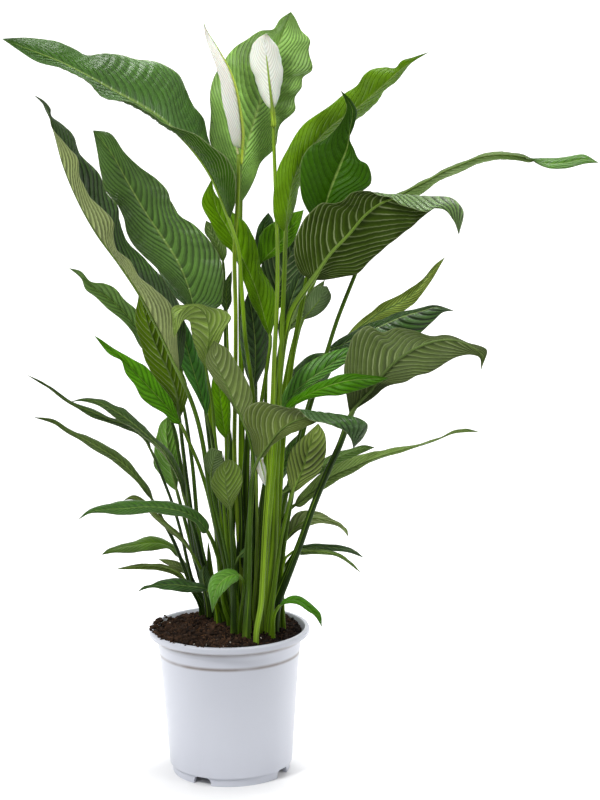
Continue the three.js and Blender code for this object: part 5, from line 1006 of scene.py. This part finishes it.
def pale_veins(n, base):
    strength = n.spread(n.noise(26.0, 2.0), 0.35, 0.65, 0.25, 0.85)
    return n.mix(n.times(vein_lines(n, 0.18), strength), base, n.mix(0.55, base, srgb(190, 202, 150)))


# Of clouds and streaks the first number is a scale, of the relief its veins' height; the rest are ranges.
# painted_ridge_shade is painted shade and light across the side veins: on the upper face dark beside them
# and light on the swellings, on the underside light beside them and dark between.
UPPER_FACE = {"clouds": (11.0, 0.8, 1.45), "mottle": (0.88, 1.12), "streaks": (4.0, 0.87, 1.08),
              "warmth": (1.15, 1.0, 0.5, 1.0), "painted_ridge_shade": (0.55, 1.35), "lines": pale_midrib,
              "edge": (132, 152, 90), "relief": (-0.9, 230.0, 0.4), "rough": (0.30, 0.46)}
UNDER_FACE = {"clouds": (12.0, 0.80, 1.22), "mottle": (0.90, 1.10), "streaks": (5.0, 0.88, 1.08),
              "warmth": (1.03, 1.0, 0.75, 1.0), "painted_ridge_shade": (1.36, 0.6), "lines": pale_veins,
              "edge": (160, 172, 120), "relief": (0.9, 220.0, 0.35), "rough": (0.42, 0.58)}


def leaf_face(name, face, gloss):
    n = Nodes(name)
    streaks, *streak_range = face["streaks"]
    streak = n.spread(fine_lines(n, streaks), 0.0, 1.0, *streak_range)
    mottle = n.patches(75.0, *face["mottle"], detail=4.0, rough=0.65)
    clouds = n.patches(*face["clouds"])
    base = tinted(n, face["warmth"], painted_ridge_shade(n, *face["painted_ridge_shade"]), clouds, streak, mottle)
    edge = n.ease(n.attribute("across"), 0.96, 1.0, 0.0, 0.45)
    colour = n.mix(edge, face["lines"](n, base), srgb(*face["edge"]))
    veins, grain, grain_height = face["relief"]
    relief = n.plus(n.times(vein_lines(n, 0.2), veins), n.times(fine_lines(n, 4.0), 0.2),
                    n.times(n.noise(grain, 3.0, 0.6), grain_height))
    return n.finish(colour, n.patches(24.0, *face["rough"]), relief, 0.0009, Specular_IOR_Level=gloss)


def stalk_green(name, foot):
    n = Nodes(name)
    along, around = n.attribute("along"), n.attribute("across")
    lines = n.node("ShaderNodeCombineXYZ")
    lengthwise = n.fill(lines, (n.times(around, 22.0), n.times(along, 1.4), n.attribute("seed")))
    grain = n.noise(1.0, 3.0, 0.6, lengthwise)
    light_grain = n.spread(grain, 0.4, 0.6)
    streaks = n.spread(grain, 0.35, 0.65, 0.28, 1.55)
    base = tinted(n, (1.05, 1.0, 0.6, 1.0), streaks, n.patches(14.0, 0.7, 1.25))
    base = n.mix(n.times(n.spread(along, 0.20, 0.0, 0.0, 0.6), light_grain), base, foot)
    colour = n.mix(n.spread(grain, 0.58, 0.70, 0.0, 0.65), base, srgb(148, 184, 56))
    rib = n.ease(along, 0.88, 1.05, 0.0, 0.35)
    colour = n.mix(rib, colour, n.mix(light_grain, srgb(112, 140, 62), srgb(156, 180, 100)))
    relief = n.plus(grain, n.times(n.noise(300.0, 2.0), 0.3))
    return n.finish(colour, n.spread(grain, 0.3, 0.7, 0.32, 0.5), relief, 0.0006, Specular_IOR_Level=0.2)


def spathe_white(name, midrib, along_midrib):
    """White with a green foot, tip and midrib, which has a width, a strength and a fading along it."""
    n = Nodes(name)
    along = n.attribute("along")
    fine = fine_lines(n, 1.0)
    white = n.mix(n.noise(40.0, 3.0), srgb(250, 250, 244), srgb(238, 237, 226))
    # Grey along the fine veins: their own colour, and painted shade of their relief.
    colour = n.mix(n.times(fine, 0.5), white, srgb(184, 184, 164))
    width, strength = midrib
    green = n.ease(n.attribute("across"), 0.0, width, strength, 0.0)
    green = n.times(green, n.spread(along, *along_midrib))
    foot = n.ease(along, 0.0, 0.14, 0.55, 0.0)
    colour = n.mix(n.math("MAXIMUM", green, foot), colour, srgb(160, 188, 72))
    colour = n.mix(n.ease(along, 0.93, 1.0, 0.0, 0.6), colour, srgb(176, 190, 110))
    relief = n.plus(fine, n.noise(200.0, 2.0))
    return n.finish(colour, 0.5, relief, 0.0003, Subsurface_Weight=0.15, Subsurface_Scale=0.004)


def spadix_cream():
    n = Nodes("spadix")
    dots = n.node("ShaderNodeTexVoronoi")
    cell = n.fill(dots, {"Scale": 620.0, "Vector": n.coords()}, "Distance")
    colour = n.mix(n.spread(cell, 0.1, 0.6), srgb(226, 224, 176), srgb(176, 184, 116))
    return n.finish(colour, 0.6, n.spread(cell, 0.0, 0.7, 1.0, 0.0), 0.0006)


def pot_plastic():
    """Satin white plastic with brownish, patchy dark lines under the lip and in the groove, whose heights
    are in metres; the line under the lip is painted shadow with dirt.
    """
    n = Nodes("pot_plastic")
    z = n.axis(2)
    base = n.mix(n.noise(6.0, 2.0), srgb(194, 197, 206), srgb(190, 193, 203))
    # Under the lip a painted shadow with dirt, in the groove a darker line; both patchy and brownish.
    under_lip_shadow = n.times(n.spread(z, 0.1855, 0.182), n.spread(z, 0.176, 0.181))
    groove = n.times(n.spread(z, 0.1635, 0.1605), n.spread(z, 0.157, 0.1595))
    lines = n.math("ADD", under_lip_shadow, n.times(groove, 0.8), clamp=True)
    dust_and_shadow = n.times(lines, n.spread(n.noise(14.0, 3.0, 0.5), 0.35, 0.6, 0.45, 1.0))
    colour = n.mix(dust_and_shadow, base, srgb(112, 98, 86))
    rough = n.patches(12.0, 0.30, 0.34, detail=2.0)
    return n.finish(colour, rough, n.noise(420.0, 2.0), 0.00002, Specular_IOR_Level=0.3)


def soil_material(name, dark, light, scale):
    """Brown bits with painted shade: darker towards the right (+x) and where the shade attribute is low.
    """
    n = Nodes(name)
    # Painted shade over the right (+x) side of the soil, crumbs and fibres.
    painted_right_shade = n.spread(n.axis(0), 0.0, 0.05, 1.0, 0.45)
    coarse = n.noise(scale, 6.0, 0.7)
    fibre = n.noise(scale * 4.5, 4.0, 0.7, distortion=1.5)
    colour = n.mix(n.spread(coarse, 0.3, 0.7), dark, light)
    colour = n.mix(n.spread(fibre, 0.62, 0.78, 0.0, 0.6), colour, srgb(124, 92, 64))
    colour = n.mix(1.0, colour, n.grey(n.times(painted_right_shade, n.attribute("shade"))), "MULTIPLY")
    return n.finish(colour, 0.95, n.plus(coarse, n.times(fibre, 0.6)), 0.002, Specular_IOR_Level=0.2)


def perlite_material():
    n = Nodes("perlite")
    colour = n.mix(n.noise(300.0, 4.0), srgb(232, 228, 218), srgb(188, 178, 160))
    return n.finish(colour, 0.9, n.noise(700.0, 3.0), 0.0006)


def floor_material():
    """Pale floor, glowing white behind the pot and grey in front of it; distances in metres."""
    n = Nodes("studio_floor")
    away = n.fill(n.node("ShaderNodeVectorMath", operation="LENGTH"), [n.coords()], "Value")
    depth = n.axis(1)
    fade = n.plus(n.times(n.math("MAXIMUM", n.minus(away, 0.45), 0.0), 0.6), 0.08)
    behind = n.ease(n.math("DIVIDE", n.plus(depth, 0.28), fade), -1.0, 1.0)
    near_glow = n.times(n.ease(away, 0.08, 0.26, 0.0, 0.5), behind)
    front_glow = n.times(n.ease(away, 1.5, 4.0, 0.0, 0.17), n.minus(1.0, behind))
    glow = n.plus(near_glow, n.ease(depth, 0.8, 3.2, 0.0, 0.6), front_glow)
    white = n.mix(n.noise(3.0, 2.0), (0.93, 0.93, 0.93, 1), (0.90, 0.90, 0.90, 1))
    colour = n.mix(behind, (0.30, 0.30, 0.30, 1), white)
    colour = n.mix(n.spread(away, 1.0, 3.0), colour, (0.36, 0.36, 0.36, 1))
    return n.finish(colour, 0.8, Emission_Color=(1, 1, 1, 1), Emission_Strength=glow)


STALK = stalk_green("leaf_stalk", srgb(134, 160, 62))
FLOWER_STALK = stalk_green("flower_stalk", srgb(112, 140, 62))
# Slots of a blade: upper face, underside, stalk, and both faces again for leaves without gloss.
LEAF_MATERIALS = [
    leaf_face("leaf_upper", UPPER_FACE, 0.42), leaf_face("leaf_under", UNDER_FACE, 0.3), STALK,
    leaf_face("leaf_upper_matt", UPPER_FACE, 0.12), leaf_face("leaf_under_matt", UNDER_FACE, 0.08),
]
SPATHE_MATERIALS = [
    spathe_white("spathe_outside", (0.22, 0.95), (0.6, 1.0, 1.0, 0.2)),
    spathe_white("spathe_inside", (0.07, 0.5), (0.25, 0.75, 1.0, 0.0)), FLOWER_STALK,
]
SOIL = soil_material("soil", srgb(9, 6, 4), srgb(50, 35, 26), 90.0)
CRUMBS = soil_material("soil_crumbs", srgb(15, 10, 7), srgb(100, 72, 52), 120.0)
PERLITE = perlite_material()
FIBRES = soil_material("soil_fibres", srgb(48, 32, 22), srgb(132, 94, 62), 240.0)


# ---------------------------------------------------------------- plant

SPADIX_RADIUS = 4.0
SPADIX_NECK = 1.8
# Radius of a rolled leaf at shares of its length.
ROLL_SHARES = (0.0, 0.12, 0.4, 0.65, 0.88, 1.0)
ROLL_WIDTHS = (1.5, 1.3, 0.85, 1.1, 0.6, 0.05)
# A spathe's blade in place of what a leaf has: fine, hardly swollen and thin.
SPATHE_BLADE = {"veins": 16, "sweep": 0.5, "quilt": 0.2, "thick": 0.6}


def keep(piece, node=None):
    """Puts a piece on the plant's only body, in the place of its solid if it has one."""
    if node:
        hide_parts(node)
    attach(piece, "root")


def stalk_colour(share):
    """A green between the stalks' darkest (0) and brightest (1)."""
    return srgb(*[d + (b - d) * share for d, b in zip(STALK_DARK, STALK_BRIGHT)])


def look_of(row):
    """The settings of a leaf's blade and stalk."""
    share = 0.15 + 0.7 * (0.5 + 0.5 * math.sin(phase_of(row["name"]) * 5))
    share = {"dark": 0.12, "bright": 0.85}.get(row["stalk"], share)
    return {"tints": (srgb(*row["upper"]), srgb(*row["under"])), "stalk": stalk_colour(share),
            "veins": row["veins"], "quilt": QUILT, "thick": BLADE_THICKNESS, "stout": 1.0, "rib": RIB}


def make_leaves():
    shoots = {}
    for row in LEAVES:
        shoots.setdefault(row["shoot"], []).append(row)
    for node, rows in shoots.items():
        mesh = Mesh()
        for row in rows:
            leaf, look = Leaf(row), look_of(row)
            add_blade(mesh, leaf, FINE, look)
            add_stalk_and_rib(mesh, leaf, look)
        piece = mesh.build(node + "_piece", LEAF_MATERIALS)
        keep(piece, node)


def make_spathes():
    for row in SPATHES:
        leaf, look = Leaf(row), look_of(row)
        look.update(SPATHE_BLADE, **KEELS[row["name"]])
        look["stalk"] = srgb(*look["stalk"])
        mesh = Mesh()
        add_blade(mesh, leaf, FINE * SPATHE_FINE, look)
        add_stalk_and_rib(mesh, leaf, look)
        keep(mesh.build(row["name"] + "_piece", SPATHE_MATERIALS), row["name"])


def tube_frames(centre):
    """Side and up directions along a centre line."""
    tangent = unit(np.gradient(centre, axis=0))
    side = unit(np.cross(tangent, [0.0, -1.0, 0.0]))
    return side, unit(np.cross(side, tangent))


def sampled(curve, step):
    """Points about step apart along a curve, and their shares of its length."""
    s = np.linspace(0, curve.length, int(curve.length / step))
    return curve(s), s / curve.length


def make_flower_stalks():
    for stalk in FLOWER_STALKS:
        x, y = stalk["root"]
        curve = Curve([(x, y, ROOT_Z), (x, y, COLLAR_Z), *[place(p) for p in stalk["path"]]])
        centre, share = sampled(curve, 8)
        foot_radius, top_radius = stalk["radius"]
        mesh = Mesh()
        radius = foot_radius + (top_radius - foot_radius) * share
        values = {"along": share, "seed": phase_of(stalk["name"])}
        add_tube(mesh, centre, tube_frames(centre), radius, values, sides=18, tint=srgb(*stalk["colour"]))
        keep(mesh.build(stalk["name"] + "_piece", [FLOWER_STALK]), stalk["name"])


def make_rolled_leaves():
    mesh = Mesh()
    for k, ((x, y), tip, thick, brightness) in enumerate(ROLLED_LEAVES):
        foot, end = np.array([x, y, COLLAR_Z]), place(tip)
        middle = foot + (end - foot) * 0.5 + np.array([2.5 * math.sin(k * 2.1), 0, 0])
        centre, share = sampled(Curve([(x, y, ROOT_Z), foot, middle, end]), 7)
        radius = thick * np.interp(share, ROLL_SHARES, ROLL_WIDTHS)
        values = {"along": share * 0.85, "seed": k * 1.7}
        add_tube(mesh, centre, tube_frames(centre), radius, values, squash=(1.15, 0.8),
                 tint=stalk_colour(brightness))
    keep(mesh.build("rolled_leaves", [STALK]))


def make_spadices():
    material = spadix_cream()
    for name, path in SPADICES:
        curve = Curve([place(p) for p in readings(path)])
        t = np.linspace(0, 1, 110)[:, None]
        centre = curve(t[:, 0] * curve.length)
        side, up = tube_frames(centre)
        body = SPADIX_RADIUS * np.sqrt(np.clip(1 - np.clip((t - 0.5) * 1.9, 0, 1) ** 2, 0, 1))
        shoulder = SPADIX_NECK + (body - SPADIX_NECK) * (t - 0.13) / 0.06
        radius = np.maximum(np.where(t < 0.13, SPADIX_NECK, np.where(t < 0.19, shoulder, body)), 0.05)
        angle = turns(40)[None, :]
        knobs = np.sin(angle * 8 + t * 60) * np.sin(angle * 8 - t * 60)
        r = radius * (1 + 0.07 * knobs * (t > 0.19))
        mesh = Mesh()
        mesh.tube(ring_points(centre, side, up, np.cos(angle) * r, np.sin(angle) * r), {"along": t})
        keep(mesh.build(name + "_piece", [material]), name)


# ---------------------------------------------------------------- pot

POT_PROFILE = [  # radius, height: closed ring from the underside, up the outside and down the inside
    [0, 0], [22, 0], [27, 10], [70, 10], [72.5, 0], [77, 0], [77, 11.5], [80.4, 11.5],
    [91.5, 159], [90.9, 160.5], [92.4, 162], [93.6, 172], [96.5, 182.5], [102, 182.5],
    [105, 184.5], [105, 190.5], [103, 192], [99, 192], [97.5, 189], [94.2, 182], [78, 13], [0, 13],
]
# Rounding radius of the profile's corners, by their place in the list.
POT_CORNERS = {
    5: 0.7, 6: 0.7, 7: 0.7, 9: 0.5, 11: 0.5, 12: 0.5, 14: 0.9, 15: 1.2, 16: 0.8, 17: 1.0, 18: 0.8,
}
NOTCHES = 4
NOTCH_WIDTH = 25.0
NOTCH_HEIGHT = 10.0
NOTCH_FIRST_ANGLE = -117.6
NOTCH_RING_RADIUS = 75.0
NOTCH_DEPTH = 14.0


def lathe(profile, sides):
    """Closed solid of revolution of a ring of (radius, height) that starts and ends on the axis."""
    mesh = Mesh(names=())
    ring = np.array(profile[1:-1], float)
    radius, height = ring[:, 0], ring[:, 1]
    angle = turns(sides)
    start = mesh.grid(revolved(radius, height, angle), {}, wrap=True)
    bottom, top = [mesh.points(np.array([[0, 0, z]], float), {}) for z in (profile[0][1], profile[-1][1])]
    last = start + (len(ring) - 1) * sides
    for j in range(sides):
        k = (j + 1) % sides
        mesh.face([bottom, start + k, start + j])
        mesh.face([top, last + j, last + k])
    return mesh


def revolved(radius, height, angle):
    """Rings of points of the given radii and heights."""
    return np.stack([np.outer(radius, np.cos(angle)), np.outer(radius, np.sin(angle)),
                     np.outer(height, np.ones(len(angle)))], -1)


def rounded(profile, corners, steps=4):
    """The profile with the named corners rounded: {index: radius}."""
    out = []
    for i, corner in enumerate(profile):
        if i not in corners:
            out.append(tuple(corner))
            continue
        corner = np.array(corner, float)
        before = unit(np.array(profile[i - 1], float) - corner) * corners[i]
        after = unit(np.array(profile[i + 1], float) - corner) * corners[i]
        for k in range(steps + 1):
            t = k / steps
            out.append(tuple(corner + before * (1 - t) ** 2 + after * t**2))
    return out


def supported(profile, margin=0.8):
    """Extra rings near both ends of each long straight run, so that it shades flat."""
    out = [profile[0]]
    for a, b in zip(profile[:-1], profile[1:]):
        run = math.dist(a, b)
        if run > 4 * margin:
            for share in (margin / run, 1 - margin / run):
                out.append((a[0] + (b[0] - a[0]) * share, a[1] + (b[1] - a[1]) * share))
        out.append(b)
    return out


def notch_cutter(turn):
    """A bar with two rounded upper edges, lying across the foot ring."""
    w, h = NOTCH_WIDTH / 2, NOTCH_HEIGHT
    outline = [(-w, -2), (w, -2), (w, h - 5), (w - 1.5, h - 2), (w - 5, h),
               (5 - w, h), (1.5 - w, h - 2), (-w, h - 5)]
    ends = (NOTCH_RING_RADIUS - NOTCH_DEPTH / 2, NOTCH_RING_RADIUS + NOTCH_DEPTH / 2)
    verts = [(x * MM, y * MM, z * MM) for x in ends for y, z in outline]
    k = len(outline)
    faces = [list(range(k))[::-1], [k + j for j in range(k)]]
    faces += [[j, (j + 1) % k, (j + 1) % k + k, j + k] for j in range(k)]
    mesh = bpy.data.meshes.new("notch")
    mesh.from_pydata(verts, [], faces)
    tool = bpy.data.objects.new("notch", mesh)
    bpy.context.collection.objects.link(tool)
    tool.rotation_euler[2] = turn
    return tool


def make_pot():
    profile = supported(rounded(POT_PROFILE, POT_CORNERS))
    body = lathe(profile, 160).build("pot_piece", [pot_plastic()])
    for i in range(NOTCHES):
        tool = notch_cutter(math.radians(NOTCH_FIRST_ANGLE + 360 / NOTCHES * i))
        bpy.context.view_layer.update()
        cut = body.modifiers.new("notch", "BOOLEAN")
        cut.operation, cut.solver, cut.object = "DIFFERENCE", "EXACT", tool
        evaluated = body.evaluated_get(bpy.context.evaluated_depsgraph_get())
        applied = bpy.data.meshes.new_from_object(evaluated)
        body.modifiers.clear()
        body.data = applied
        bpy.data.objects.remove(tool)
    body.data.polygons.foreach_set("use_smooth", [True] * len(body.data.polygons))
    body.data.set_sharp_from_angle(angle=math.radians(38))
    keep(body, "pot")


# ---------------------------------------------------------------- soil

SOIL_EDGE_HEIGHT = 185.0
SOIL_MOUND = 7.0
SOIL_MOUND_RADIUS = 91
SOIL_LUMP = 1.6
SOIL_LIFT = 2.6  # how far the rough soil stands over the solid's, less towards the right and the back
SOIL_TILT = 1.6 / 130
SOIL_ROUGHNESS = 3.4
SOIL_UNDER = ((77.6, 13.4), (93.4, 180.0))  # radius and height of the rings under the surface
SOIL_RIM = 94.6
CRUMB_RIM = 93.5
FIBRE_RIM = 90
# Crumbs spilled on the pot's lip: the angle in degrees and its spread, the radii, the lip's height.
SPILL = {"angle": 205, "spread": 26, "radii": (93, 103), "height": 190.5}
HEAP = {"x": 66.0, "y": 58.0, "radius": 26.0, "height": 5.0}
FIBRE_COUNT = 700
CRUMB_COUNT = 3000
CRUMB_SIZES = (0.9, 4.6)
CRUMBS_SPILLED = 150
PERLITE_COUNT = 90
PERLITE_SIZES = (0.7, 1.7)
SEEDS = {"soil_fibres": 31, "soil_crumbs": 11, "soil_perlite": 23}


def soil_height(x, y):
    """The solid's surface: a mound with a heap at the back and soft lumps."""
    mound = SOIL_MOUND * (1 - (np.hypot(x, y) / SOIL_MOUND_RADIUS) ** 2)
    away = (x - HEAP["x"]) ** 2 + (y - HEAP["y"]) ** 2
    heap = HEAP["height"] * np.exp(-away / HEAP["radius"] ** 2)
    lump = SOIL_LUMP * np.sin(x * 0.19 + 1.3) * np.cos(y * 0.23 - 0.6)
    return SOIL_EDGE_HEIGHT + mound + heap + lump


def make_soil():
    sides = 240
    radii = np.linspace(0.6, SOIL_RIM, 90)[::-1]
    angle = turns(sides)
    top = revolved(radii, np.zeros(len(radii)), angle)
    x, y = top[..., 0], top[..., 1]
    places = [Vector((a * 0.11, b * 0.11, 0.0)) for a, b in zip(x.ravel(), y.ravel())]
    bumps = np.array([noise.fractal(p, 0.7, 2.1, 5) for p in places]).reshape(x.shape)
    height = soil_height(x, y) + SOIL_LIFT - SOIL_TILT * (x + y) + bumps * SOIL_ROUGHNESS
    top[..., 2] = np.clip(height, 184.0, None)
    under = revolved(*zip(*SOIL_UNDER), angle)
    # shade: painted shade, darker in the surface's hollows and lighter on its bumps.
    shade = np.clip(0.55 + 0.9 * np.concatenate([np.zeros((len(under), sides)), bumps]), 0.2, 1.0)
    mesh = Mesh(names=("shade",))
    mesh.tube(np.concatenate([under, top]), {"shade": shade})
    keep(mesh.build("soil_piece", [SOIL]), "soil")


def loose(name, material, fill, *settings):
    """A piece of loose bits on the soil."""
    mesh = Mesh(names=("shade",))
    fill(mesh, random.Random(SEEDS[name]), *settings)
    keep(mesh.build(name, [material], smooth=False))


def spot(rng, rim):
    """A random place on the soil: its radius, x and y."""
    r = rim * math.sqrt(rng.random())
    a = rng.uniform(0, FULL_TURN)
    return r, r * math.cos(a), r * math.sin(a)


def add_chunk(mesh, rng, at, size):
    """One irregular crumb: a jittered six-sided blob of three rings and two poles."""
    levels = [(0.0, -1.0), (0.75, -0.55), (1.0, 0.05), (0.7, 0.6), (0.0, 1.0)]
    turn = Matrix.Rotation(rng.uniform(0, 6.28), 3, "Z") @ Matrix.Rotation(rng.uniform(-0.9, 0.9), 3, "X")
    sides = 6
    value = rng.uniform(0.3, 1.0)
    squash = rng.uniform(0.4, 0.9)
    verts, shade = [], []
    for r, h in levels:
        for k in range(1 if r == 0 else sides):
            a = FULL_TURN * k / sides
            j = (1 + rng.uniform(-0.38, 0.38)) * size
            p = turn @ Vector((math.cos(a) * r * j, math.sin(a) * r * j * squash, h * j * 0.8))
            verts.append((at[0] + p.x, at[1] + p.y, at[2] + p.z))
            # shade: the crumb's own random tone times painted shade, darker on its underside.
            shade.append(value * (0.3 + 0.7 * min(1.0, max(0.0, 0.5 + 0.6 * p.z / size))))
    base = mesh.points(np.array(verts), {"shade": np.array(shade)})
    rings = [[base + 1 + level * sides + k for k in range(sides)] for level in range(3)]
    top = rings[-1][-1] + 1
    for k in range(sides):
        mesh.face([base, rings[0][(k + 1) % sides], rings[0][k]])
    for lower, upper in zip(rings[:-1], rings[1:]):
        for k in range(sides):
            mesh.face([lower[k], lower[(k + 1) % sides], upper[(k + 1) % sides], upper[k]])
    for k in range(sides):
        mesh.face([rings[-1][k], rings[-1][(k + 1) % sides], top])


def crumbs(mesh, rng, count, sizes, spill=0):
    """Crumbs all over the soil, and some spilled on the rim at the left."""
    for _ in range(count):
        r, x, y = spot(rng, CRUMB_RIM)
        size = rng.uniform(*sizes) * (0.6 + 0.8 * rng.random() ** 3)
        if r + size > CRUMB_RIM + 1.5:
            continue
        z = soil_height(x, y) + SOIL_LIFT - SOIL_TILT * (x + y) + rng.uniform(-1.0, 1.8)
        add_chunk(mesh, rng, (x, y, z), size)
    for _ in range(spill):
        a = math.radians(rng.gauss(SPILL["angle"], SPILL["spread"]))
        r = rng.uniform(*SPILL["radii"])
        size = rng.uniform(*sizes) * 0.9
        z = SPILL["height"] + size * 0.6 + (r < 98) * 0.5
        add_chunk(mesh, rng, (r * math.cos(a), r * math.sin(a), z), size)


def fibres(mesh, rng, count):
    """Thin bent peat fibres lying on the soil."""
    joints = 6
    for _ in range(count):
        _, x, y = spot(rng, FIBRE_RIM)
        turn, bend, length = rng.uniform(0, 6.28), rng.uniform(-0.25, 0.25), rng.uniform(5, 15)
        points = []
        for _ in range(joints):
            points.append((x, y, soil_height(x, y) + 3.6 + rng.uniform(-0.7, 1.2)))
            x += math.cos(turn) * length / (joints - 1)
            y += math.sin(turn) * length / (joints - 1)
            turn += bend
        if math.hypot(x, y) > FIBRE_RIM + 2:
            continue
        centre = np.array(points)
        radius = np.full(joints, rng.uniform(0.25, 0.55))
        add_tube(mesh, centre, tube_frames(centre), radius, {"shade": 1.0}, sides=5)


# ---------------------------------------------------------------- studio

CAMERA_PITCH = math.radians(9.3)
CAMERA_ROLL = math.radians(0.5)
CAMERA_LENS = 88.83
WORLD_STRENGTH = 0.42
# Square lamps: name, place and target in metres, side and power.
LIGHTS = [
    ("key_left", (-1.5, -1.6, 2.3), (0, 0, 0.55), 0.6, 52),
    ("fill_right", (1.9, -1.2, 1.5), (0, 0, 0.45), 0.8, 14),
    ("top", (0.3, 0.5, 2.6), (0, 0, 0.5), 0.8, 37),
]
# The studio floor in mm: flat up to the bend, which turns it up into a round wall.
FLOOR_RADII = [1.0, 500.0, 2000.0]
BEND_START = 5600
BEND_RADIUS = 1200
WALL_HEIGHT = 6000.0


def make_floor():
    """A floor that bends up into a round wall, far enough out to enclose every camera."""
    bend = np.linspace(0, math.pi / 2, 24)
    wall = [BEND_START + BEND_RADIUS]
    radius = np.concatenate([FLOOR_RADII, BEND_START + BEND_RADIUS * np.sin(bend), wall])
    height = np.concatenate([[0] * len(FLOOR_RADII), BEND_RADIUS * (1 - np.cos(bend)), [WALL_HEIGHT]])
    cove = Mesh(names=())
    cove.grid(revolved(radius, height, turns(96)), {}, flip=True, wrap=True)
    cove.build("studio_cove", [floor_material()])


def area_light(name, location, target, size, power):
    data = bpy.data.lights.new(name, "AREA")
    data.shape, data.size, data.energy = "SQUARE", size, power
    light = bpy.data.objects.new(name, data)
    light.location = location
    light.rotation_euler = (Vector(target) - Vector(location)).to_track_quat("-Z", "Y").to_euler()
    bpy.context.collection.objects.link(light)


def make_light():
    world = bpy.data.worlds.new("studio")
    bpy.context.scene.world = world
    world.use_nodes = True
    background = world.node_tree.nodes["Background"]
    background.inputs["Color"].default_value = (1.0, 1.0, 1.0, 1)
    background.inputs["Strength"].default_value = WORLD_STRENGTH
    for light in LIGHTS:
        area_light(*light)


def make_camera():
    """The photograph's camera: pitched down and rolled by fitted angles."""
    data = bpy.data.cameras.new("camera")
    camera = bpy.data.objects.new("camera", data)
    bpy.context.collection.objects.link(camera)
    pitch, roll = CAMERA_PITCH, CAMERA_ROLL
    forward = Vector((0, math.cos(pitch), -math.sin(pitch)))
    level = Vector((1, 0, 0))
    upright = level.cross(forward)
    right = level * math.cos(roll) - upright * math.sin(roll)
    up = level * math.sin(roll) + upright * math.cos(roll)
    turn = Matrix((right, up, -forward)).transposed().to_4x4()
    camera.matrix_world = Matrix.Translation(Vector(EYE) * MM) @ turn
    data.lens = CAMERA_LENS
    data.sensor_width = 36.0
    data.clip_start, data.clip_end = 0.05, 50.0
    bpy.context.scene.camera = camera


make_pot()
make_soil()
loose("soil_fibres", FIBRES, fibres, FIBRE_COUNT)
loose("soil_crumbs", CRUMBS, crumbs, CRUMB_COUNT, CRUMB_SIZES, CRUMBS_SPILLED)
loose("soil_perlite", PERLITE, crumbs, PERLITE_COUNT, PERLITE_SIZES)
make_leaves()
make_rolled_leaves()
make_flower_stalks()
make_spathes()
make_spadices()
make_floor()
make_light()
make_camera()
bpy.context.scene.view_settings.view_transform = "Standard"
